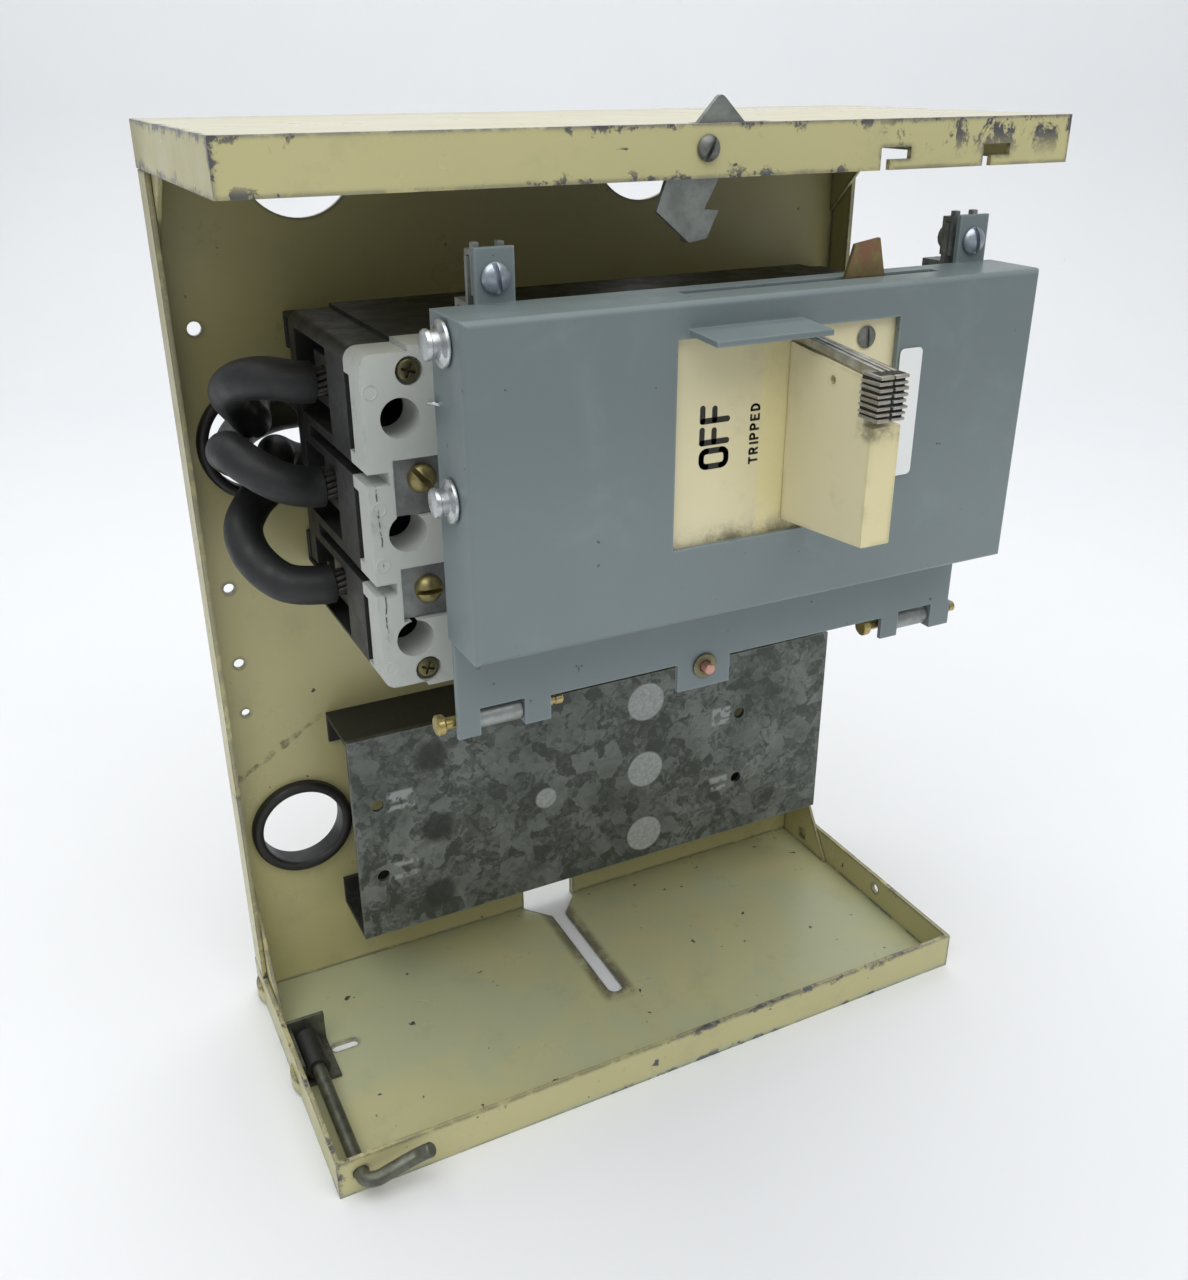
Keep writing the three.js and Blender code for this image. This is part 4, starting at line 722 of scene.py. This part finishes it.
def tube(name, route, radius, sides=28, rounded_ends=True):
    """Round bar along a route in millimetres. radius is a number or a function of the travel."""
    size = radius if callable(radius) else (lambda travel: radius)
    tangents = []
    for i in range(len(route)):
        ahead, behind = route[min(i + 1, len(route) - 1)], route[max(i - 1, 0)]
        tangents.append((ahead - behind).normalized())
    normal = tangents[0].orthogonal().normalized()
    vertices, rings, travel = [], [], 0.0
    for i, (point, tangent) in enumerate(zip(route, tangents)):
        if i:
            travel += (point - route[i - 1]).length
            normal = (normal - tangent * normal.dot(tangent)).normalized()
        side = tangent.cross(normal)
        shrink = 1.0
        if rounded_ends and i in (0, len(route) - 1):
            shrink = 0.86
        ring = []
        for k in range(sides):
            angle = 2 * math.pi * k / sides
            out = normal * math.cos(angle) + side * math.sin(angle)
            ring.append(len(vertices))
            vertices.append(at(*(point + out * size(travel) * shrink)))
        rings.append(ring)
    faces = [list(reversed(rings[0])), list(rings[-1])]
    for a, b in zip(rings, rings[1:]):
        faces += [(a[k], a[(k + 1) % sides], b[(k + 1) % sides], b[k]) for k in range(sides)]
    piece = mesh_object(name, vertices, faces)
    point_outwards(piece)
    smooth(piece, 50)
    return piece


# ---------- sheet metal and mouldings, rounded from their solids ----------

for node in ("back_pan", "top_pan", "bottom_pan"):
    refined(node, 0.55, 3)
for node in ("gusset_top_left", "gusset_top_right", "gusset_bottom_left", "gusset_bottom_right"):
    refined(node, 0.3)
refined("mounting_channel", 0.8, 3)
refined("breaker_channel", 0.8, 3, PLAIN_CHANNEL)
refined("breaker_base", 0.5, 2)
refined("breaker_cover", 0.6, 3)
refined("breaker_toggle", 0.6, 3)
refined("operator_base", 0.3, 2, DULL_ZINC)
refined("operator_cover", 0.45, 3)
refined("slide_guide_upper", 0.25)
refined("slide_guide_lower", 0.25)
refined("slide_plate", 0.3)
refined("operator_handle", 0.7, 3)
refined("interlock_tab", 0.3, 2, TAB_ZINC)
refined("unit_latch", 0.3, 2, LATCH_ZINC)
refined("rod_bracket", 0.3, 2, ROD_STEEL)
refined("rod_sleeve", 0.7, 3)
refined("stab_housing", 0.8, 3)
for node in ("stab_jaw_left", "stab_jaw_centre", "stab_jaw_right"):
    refined(node, 0.3)
for node in ("clip_nut_left", "clip_nut_right"):
    refined(node, 0.3, 2, DULL_ZINC)
for node in ("line_lug_top", "line_lug_middle", "line_lug_bottom"):
    refined(node, 0.5, 2, SHADED_LUG_ZINC)
refined("rating_label", 0.1)


# ---------- turned hardware ----------


def slotted_head(node, head, dome, shank, length, turn, material=None):
    """Domed, slotted screw facing the front, in its solid's place."""
    low, high = mm_box(node)
    centre = ((low.x + high.x) / 2, low.y, (low.z + high.z) / 2)
    profile = [(0, 0)]
    profile += [(head * math.sin(a), dome * (1 - math.cos(a)) * 0.9) for a in (0.5, 0.85, 1.15, 1.4)]
    profile += [(head, dome * 0.82), (head * 0.97, dome), (shank, dome), (shank, dome + length)]
    profile += [(0, dome + length)]
    piece = lathe(node + ".fine", profile, centre, "Y")
    slot = block((-head * 1.2, head * 1.2), (-1, dome * 0.72), (-head * 0.17, head * 0.17))
    spin = Matrix.Rotation(turn, 4, "Y")
    slot.data.transform(Matrix.Translation(at(*centre)) @ spin @ Matrix.Translation(-at(0, 0, 0)))
    cut(piece, slot)
    round_edges(piece, 0.12, 2, 40)
    return finish(piece, node, material)


slotted_head("ear_screw_left", 4.6, 2.8, 2.1, 12.9, 1.41, BLUE_ZINC)
slotted_head("ear_screw_right", 4.6, 2.8, 2.1, 12.9, 1.41, BLUE_ZINC)
slotted_head("breaker_mount_screw_upper", 4.95, 4, 2.4, 13.4, 0.85, GOLD_SCREW)
slotted_head("breaker_mount_screw_lower", 4.95, 4, 2.4, 13.4, 0.0, GOLD_SCREW)
slotted_head("latch_screw", 4.0, 2.4, 1.9, 8.9, -1.1, FINISH["bare_steel"])
slotted_head("slide_screw", 3.6, 0.9, 2.1, 7.9, 1.5, FINISH["bare_steel"])


def phillips_head(node):
    low, high = mm_box(node)
    x, z = (low.x + high.x) / 2, (low.z + high.z) / 2
    height = high.y - low.y
    profile = [(0, 0.25), (2.2, 0.25), (3.3, 0.5), (3.85, 1.0), (3.85, height), (0, height)]
    piece = lathe(node + ".fine", profile, (x, low.y, z), "Y")
    arm, half, y = 2.3, 0.42, (low.y - 1, low.y + 1.6)
    bars = [
        block((x - arm, x + arm), y, (z - half, z + half)),
        block((x - half, x + half), y, (z - arm, z + arm)),
    ]
    centre = at(x, 0, z)
    for bar in bars:
        turn = Matrix.Translation(centre) @ Matrix.Rotation(0.35, 4, "Y") @ Matrix.Translation(-centre)
        bar.data.transform(turn)
    cut(piece, *bars)
    round_edges(piece, 0.15, 2, 40)
    finish(piece, node, DARK_SCREW)


phillips_head("breaker_cover_screw_upper")
phillips_head("breaker_cover_screw_lower")


def shoulder_stud(node):
    low, high = mm_box(node)
    y, z = (low.y + high.y) / 2, (low.z + high.z) / 2
    tip = low.x
    profile = [(0, 0), (3.3, 0), (4.3, 0.35), (4.6, 0.9), (4.6, 1.6), (4.1, 2.0), (4.1, 4.2)]
    profile += [(4.6, 4.6), (5.6, 4.8), (6.8, 5.0), (7.0, 5.4), (7.0, 5.9), (6.7, 6.2)]
    profile += [(2, 6.2), (2, high.x - tip), (0, high.x - tip)]
    piece = lathe(node + ".fine", profile, (tip, y, z), "X", 72)
    smooth(piece, 32)
    finish(piece, node)


shoulder_stud("shoulder_stud_upper")
shoulder_stud("shoulder_stud_lower")


def hinge_pin(node):
    low, high = mm_box(node)
    y, z = (low.y + high.y) / 2, (low.z + high.z) / 2
    long = high.x - low.x
    profile = [(0, 0), (3.0, 0), (3.6, 0.5), (3.6, 2.5), (3.2, 3.0), (2.1, 3.0)]
    profile += [(2.1, long - 4.2), (1.7, long - 3.9), (1.7, long - 3.1), (2.1, long - 2.8)]
    profile += [(2.1, long - 0.4), (1.7, long), (0, long)]
    piece = lathe(node + ".fine", profile, (low.x, y, z), "X", 40)
    smooth(piece, 32)
    finish(piece, node)


hinge_pin("hinge_pin_left")
hinge_pin("hinge_pin_right")


def skirt_pin():
    low, high = mm_box("skirt_pin")
    x, z = (low.x + high.x) / 2, (low.z + high.z) / 2
    long = high.y - low.y
    profile = [(0, 0), (1.7, 0), (2.0, 0.3), (2.0, long - 1.2), (3.4, long - 1.2), (3.4, long), (0, long)]
    piece = lathe("skirt_pin.fine", profile, (x, low.y, z), "Y", 40)
    smooth(piece, 32)
    finish(piece, "skirt_pin")
    low, high = mm_box("skirt_pin_washer")
    thick = high.y - low.y
    profile = [(2.3, 0.2), (2.7, 0), (4.5, 0), (4.8, 0.3), (4.8, thick), (2.3, thick)]
    washer = lathe("skirt_pin_washer.fine", profile, (x, low.y, z), "Y", 56)
    smooth(washer, 32)
    finish(washer, "skirt_pin_washer", OLIVE_ZINC)


skirt_pin()


def grommet(node, opening):
    low, high = mm_box(node)
    x, z = (low.x + high.x) / 2, (low.z + high.z) / 2
    rim = (high.x - low.x) / 2
    deep = high.y - low.y
    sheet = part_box("back_pan")[1].y
    sheet_rear = (sheet - CORNER.y) / MM - low.y
    sheet_front = sheet_rear - SHEET
    lip = rim - opening
    profile = []
    for i in range(7):
        angle = math.pi * i / 6
        profile.append((opening + lip / 2 - lip / 2 * math.cos(angle), 1.6 - 1.6 * math.sin(angle)))
    neck = rim - 2.6
    profile += [(rim, sheet_front - GAP), (neck, sheet_front - GAP), (neck, sheet_rear + GAP)]
    profile += [(rim, sheet_rear + GAP), (rim - 0.8, deep), (opening + 0.2, deep)]
    piece = lathe(node + ".fine", profile, (x, low.y, z), "Y", 96)
    smooth(piece, 40)
    finish(piece, node, FINISH["black_moulding"])


grommet("cable_grommet", 19.1)
grommet("spare_grommet", 17.9)


# ---------- line cables ----------

CABLE_R = 7.4
ROUTES = {
    "top": [
        (42.8, 75, 298),
        (35, 75, 298.4),
        (24.5, 78, 300.4),
        (17.5, 88, 298),
        (15.5, 102, 291.5),
        (20.8, 117, 282.5),
        (26.6, 126, 275),
        (29.2, 135, 272.2),
        (31, 145, 274.6),
        (37, 155, 281.5),
        (49, 160, 287),
        (65, 161, 290.5),
        (84, 160, 292),
        (99.4, 160, 292),
    ],
    "middle": [
        (42.8, 75, 260.4),
        (35, 75, 260.6),
        (24, 74.5, 264.5),
        (15.5, 79, 270),
        (11.5, 91, 272.5),
        (12.5, 106, 268.3),
        (17, 120, 262),
        (20.6, 133, 258.5),
        (22.2, 146, 259.5),
        (29, 157, 263),
        (42, 162, 266),
        (60, 161, 267),
        (84, 160, 266),
        (99.4, 160, 266),
    ],
    "bottom": [
        (42.8, 75, 222.8),
        (35, 75, 222.8),
        (22.5, 78.5, 225),
        (14.5, 88, 232.5),
        (13.8, 99, 240),
        (20.5, 111, 245.5),
        (31, 122, 250.4),
        (36, 133, 256.8),
        (38.6, 143, 255.2),
        (46, 151, 249.5),
        (60, 155, 244),
        (84, 160, 240),
        (99.4, 160, 240),
    ],
}
BARED = 3.0  # length of conductor between the jacket and the lug


def line_cable(pole):
    node = "line_cable_" + pole
    route = smooth_route(ROUTES[pole], 14)
    start = route[0].x - BARED
    jacket = [point for point in route if point.x < start or point.y > 90]
    lay = {"top": 0.4, "middle": 1.1, "bottom": 2.3}[pole]

    def girth(travel):
        return CABLE_R - 0.12 + 0.10 * math.sin(travel * 0.11 + lay) * math.sin(travel * 0.043 + lay)

    piece = tube(node + ".fine", jacket, girth, 36)
    finish(piece, node)
    strands = []
    for ring, count in ((3.9, 12), (2.0, 6)):
        for k in range(count):
            route_k = []
            for i in range(9):
                x = route[0].x + 2.2 - (BARED + 5.0) * i / 8
                angle = 2 * math.pi * k / count + 0.05 * i + lay
                spread = ring * (1.0 + 0.10 * math.sin(i * 0.4))
                y = route[0].y + spread * math.cos(angle)
                route_k.append(Vector((x, y, route[0].z + spread * math.sin(angle))))
            strands.append(tube(f"strand_{k}", route_k, 0.98, 10, False))
    bundle = joined(f"{node}.strands", strands)
    finish(bundle, node, STRANDS, replace=False)


def joined(name, pieces):
    work = bmesh.new()
    for piece in pieces:
        work.from_mesh(piece.data)
        bpy.data.objects.remove(piece)
    mesh = bpy.data.meshes.new(name)
    work.to_mesh(mesh)
    work.free()
    whole = bpy.data.objects.new(name, mesh)
    bpy.context.scene.collection.objects.link(whole)
    smooth(whole, 50)
    return whole


for pole in ROUTES:
    line_cable(pole)


# ---------- retainer rod ----------

ROD = {"x": 9.2, "z": 10, "r": 3.0}


def retainer_rod():
    x, z = ROD["x"], ROD["z"]
    points = [
        (x, 82, z),
        (x, 55, z),
        (x, 28, z),
        (x, 8, z),
        (x, 0.5, z),
        (x + 0.8, -4, z + 0.1),
        (x + 4.2, -6.3, z + 0.8),
        (x + 10, -6.4, z + 2),
        (x + 17, -6.3, z + 3.6),
        (x + 22, -7, z + 5.4),
        (x + 26, -9.6, z + 8.6),
    ]
    piece = tube("retainer_rod.fine", smooth_route(points, 10), ROD["r"] - 0.04, 32)
    finish(piece, "retainer_rod", ROD_STEEL)


retainer_rod()


# ---------- markings ----------


def stroke(points, half, depth, plane_y):
    """Flat round-ended stroke on a plane facing the front, as one outline per segment."""
    pieces = []
    for (x0, z0), (x1, z1) in zip(points, points[1:]):
        heading = math.atan2(z1 - z0, x1 - x0)
        outline = []
        for centre, sweep in (((x1, z1), heading - math.pi / 2), ((x0, z0), heading + math.pi / 2)):
            for i in range(9):
                angle = sweep + math.pi * i / 8
                outline.append((centre[0] + half * math.cos(angle), centre[1] + half * math.sin(angle)))
        count = len(outline)
        front = [at(u, plane_y - depth, w) for u, w in outline]
        back = [at(u, plane_y, w) for u, w in outline]
        faces = [list(range(count)), list(range(2 * count - 1, count - 1, -1))]
        faces += [(i, count + i, count + (i + 1) % count, (i + 1) % count) for i in range(count)]
        segment = mesh_object("stroke", front + back, faces)
        point_outwards(segment)
        pieces.append(segment)
    return pieces


def arc(cx, cy, rx, ry, start, end, steps=10):
    turn = [math.radians(start + (end - start) * i / steps) for i in range(steps + 1)]
    return [(cx + rx * math.cos(a), cy + ry * math.sin(a)) for a in turn]


# Each letter is a list of strokes in a cell of width 0.62 and height 1.
LETTERS = {
    "O": [
        arc(0.35, 0.8, 0.2, 0.2, 0, 90, 5)
        + arc(0.2, 0.8, 0.2, 0.2, 90, 180, 5)
        + arc(0.2, 0.2, 0.2, 0.2, 180, 270, 5)
        + arc(0.35, 0.2, 0.2, 0.2, 270, 360, 5)
        + [(0.55, 0.8)]
    ],
    "F": [[(0.45, 1), (0, 1), (0, 0)], [(0, 0.52), (0.40, 0.52)]],
    "T": [[(0, 1), (0.6, 1)], [(0.3, 1), (0.3, 0)]],
    "I": [[(0.1, 1), (0.1, 0)]],
    "P": [[(0, 0), (0, 1), (0.3, 1)] + arc(0.3, 0.74, 0.26, 0.26, 90, -90) + [(0, 0.48)]],
    "R": [
        [(0, 0), (0, 1), (0.3, 1)] + arc(0.3, 0.74, 0.26, 0.26, 90, -90) + [(0, 0.48)],
        [(0.3, 0.48), (0.56, 0)],
    ],
    "E": [[(0.54, 1), (0, 1), (0, 0), (0.54, 0)], [(0, 0.52), (0.44, 0.52)]],
    "D": [[(0.2, 1), (0, 1), (0, 0), (0.2, 0)] + arc(0.2, 0.5, 0.38, 0.5, -90, 90)],
}
ADVANCE = {"O": 0.855, "F": 0.755, "I": 0.45}
PLAIN_ADVANCE = 0.95


def word(name, text, baseline_x, start_z, cap, half, spacing=1.0):
    """Reads upwards: the letters' tops face the left."""
    plate_y = mm_box("slide_plate")[0].y
    pieces, along = [], start_z
    for letter in text:
        for line in LETTERS[letter]:
            placed = [(baseline_x - v * cap, along + u * cap) for u, v in line]
            pieces += stroke(placed, half, 0.06, plate_y - 0.02)
        along += cap * (ADVANCE.get(letter, PLAIN_ADVANCE) + spacing - 1.0)
    finish(joined(name, pieces), "slide_plate", INK, replace=False)


word("mark_off", "OFF", 144.1, 281.6, 9.2, 0.95)
word("mark_tripped", "TRIPPED", 155.9, 280.6, 2.9, 0.37, 1.13)


# ---------- lockout hasp ----------


def prism(name, outline, x):
    """Outline in Y and Z, thickness along X."""
    count = len(outline)
    vertices = [at(x[0], y, z) for y, z in outline] + [at(x[1], y, z) for y, z in outline]
    faces = [list(range(count)), list(range(2 * count - 1, count - 1, -1))]
    faces += [(i, count + i, count + (i + 1) % count, (i + 1) % count) for i in range(count)]
    piece = mesh_object(name, vertices, faces)
    point_outwards(piece)
    return piece


HASP_LEAVES = 8
HASP_STACK_TOP = 317.6
HASP_NOTCH = 3.8  # depth of the notch in the handle's nose, less the gap
HASP_ARM_Z = (314.8, 318.8)  # under the arm, at the nose and at the cover
HASP_ARM_START = 4.5  # behind the stack's front
HASP_ARM_THICK = 2.8
HASP_STRIPS = ((166.9, 168.4), (169.2, 170.6), (171.4, 172.9))


def lockout_hasp():
    """Stack of worn leaves in two columns, with three strips of them running back over the handle."""
    low, high = mm_box("lockout_hasp")
    fin_low = mm_box("operator_handle")[0]
    rear = fin_low.y + HASP_NOTCH
    shake = random.Random(5)
    pitch = (HASP_STACK_TOP - low.z) / HASP_LEAVES
    columns = [(low.x, low.x + 5.1), (low.x + 5.5, high.x)]
    leaves = []
    for i in range(HASP_LEAVES):
        for x0, x1 in columns:
            z = low.z + i * pitch
            nose = low.y + shake.uniform(0.05, 0.8)
            thick = pitch * shake.uniform(0.58, 0.74)
            drop = shake.uniform(-0.25, 0.25)
            outline = [(nose, z + 0.15), (nose, z + thick), (rear, z + thick + drop), (rear, z + 0.15 + drop)]
            side = (x0 + shake.uniform(0.0, 0.4), x1 - shake.uniform(0.0, 0.4))
            leaf = prism(f"hasp_leaf_{i}", outline, side)
            round_edges(leaf, 0.25, 2)
            leaves.append(leaf)
    finish(joined("lockout_hasp.fine", leaves), "lockout_hasp", LEAF_STEEL)
    # painted shade: a near-black block behind the leaves, standing for the shade in the gaps between them
    core_z = (low.z + 0.3, HASP_STACK_TOP - 0.4)
    core = block((low.x + 0.7, high.x - 0.7), (low.y + 1.6, rear - 0.1), core_z, "hasp_shade_core")
    round_edges(core, 0.2, 2)
    finish(core, "lockout_hasp", LEAF_GAP_SHADE, replace=False)
    strips = []
    for start, stop in HASP_STRIPS:
        lift = shake.uniform(-0.12, 0.12)
        outline = [
            (low.y + HASP_ARM_START, HASP_ARM_Z[0] + lift),
            (high.y, HASP_ARM_Z[1] + lift),
            (high.y, HASP_ARM_Z[1] + HASP_ARM_THICK + lift),
            (low.y + HASP_ARM_START, HASP_ARM_Z[0] + HASP_ARM_THICK + lift),
        ]
        strip = prism("hasp_strip", outline, (start, stop))
        round_edges(strip, 0.25, 2)
        strips.append(strip)
    finish(joined("hasp_strips", strips), "lockout_hasp", LEAF_STEEL, replace=False)


lockout_hasp()


# ---------- small moulded and formed details ----------


TERMINAL_FACE = 14.0
EJECTOR_MARKS = [(41.6, 307), (41.6, 269.5), (41.6, 250.5), (42.0, 213.5)]


def moulded_rings():
    """Round ejector marks on the breaker cover's terminal face."""
    for i, (x, z) in enumerate(EJECTOR_MARKS):
        profile = [(1.9, 0.0), (2.05, -0.16), (2.35, -0.16), (2.5, 0.0), (2.35, 0.3), (1.95, 0.3)]
        ring = lathe(f"ejector_mark_{i}", profile, (x, TERMINAL_FACE, z), "Y", 48)
        smooth(ring, 40)
        finish(ring, "breaker_cover", replace=False)


moulded_rings()


def lug_screws():
    """Slotted set screws down the lug access holes."""
    for pole in ("top", "middle", "bottom"):
        low, high = mm_box("line_lug_" + pole)
        x, z = low.x + 7, (low.z + high.z) / 2
        profile = [(0, 0), (3.6, 0), (4.1, 0.5), (4.1, 7), (0, 7)]
        screw = lathe(f"lug_screw_{pole}", profile, (x, low.y - 2.5, z), "Y", 40)
        cut(screw, block((x - 6, x + 6), (low.y - 4, low.y - 0.9), (z - 0.6, z + 0.6)))
        round_edges(screw, 0.15, 2, 40)
        finish(screw, "line_lug_" + pole, replace=False)


lug_screws()


def hook_wire():
    """End of the return spring's wire where it hooks through the cover's left side."""
    side = mm_box("operator_cover")[0].x
    points = [
        (side + 3.0, -9.2, 305.6),
        (side + 0.6, -8.6, 306.6),
        (side - 1.4, -7.4, 307.2),
        (side - 2.0, -5.0, 306.8),
        (side - 0.9, -3.2, 305.9),
    ]
    piece = tube("spring_hook", smooth_route(points, 8), 0.5, 16)
    finish(piece, "slide_guide_upper", replace=False)


hook_wire()


# ---------- floor ----------


def make_floor():
    far, near, half, rise, bend = 1.15, -2.2, 3.0, 2.4, 0.35
    profile = [(near, 0.0), (far, 0.0)]
    for i in range(1, 13):
        angle = math.pi / 2 * i / 12
        profile.append((far + bend * math.sin(angle), bend * (1 - math.cos(angle))))
    profile.append((far + bend, rise))
    vertices = [Vector((x, y, z)) for y, z in profile for x in (-half, half)]
    faces = [(2 * i, 2 * i + 1, 2 * i + 3, 2 * i + 2) for i in range(len(profile) - 1)]
    floor = mesh_object("floor", vertices, faces)
    smooth(floor, 60)
    floor.rotation_euler.z = math.radians(-27)
    floor.data.materials.append(floor_material())


make_floor()
make_camera()
make_lights()
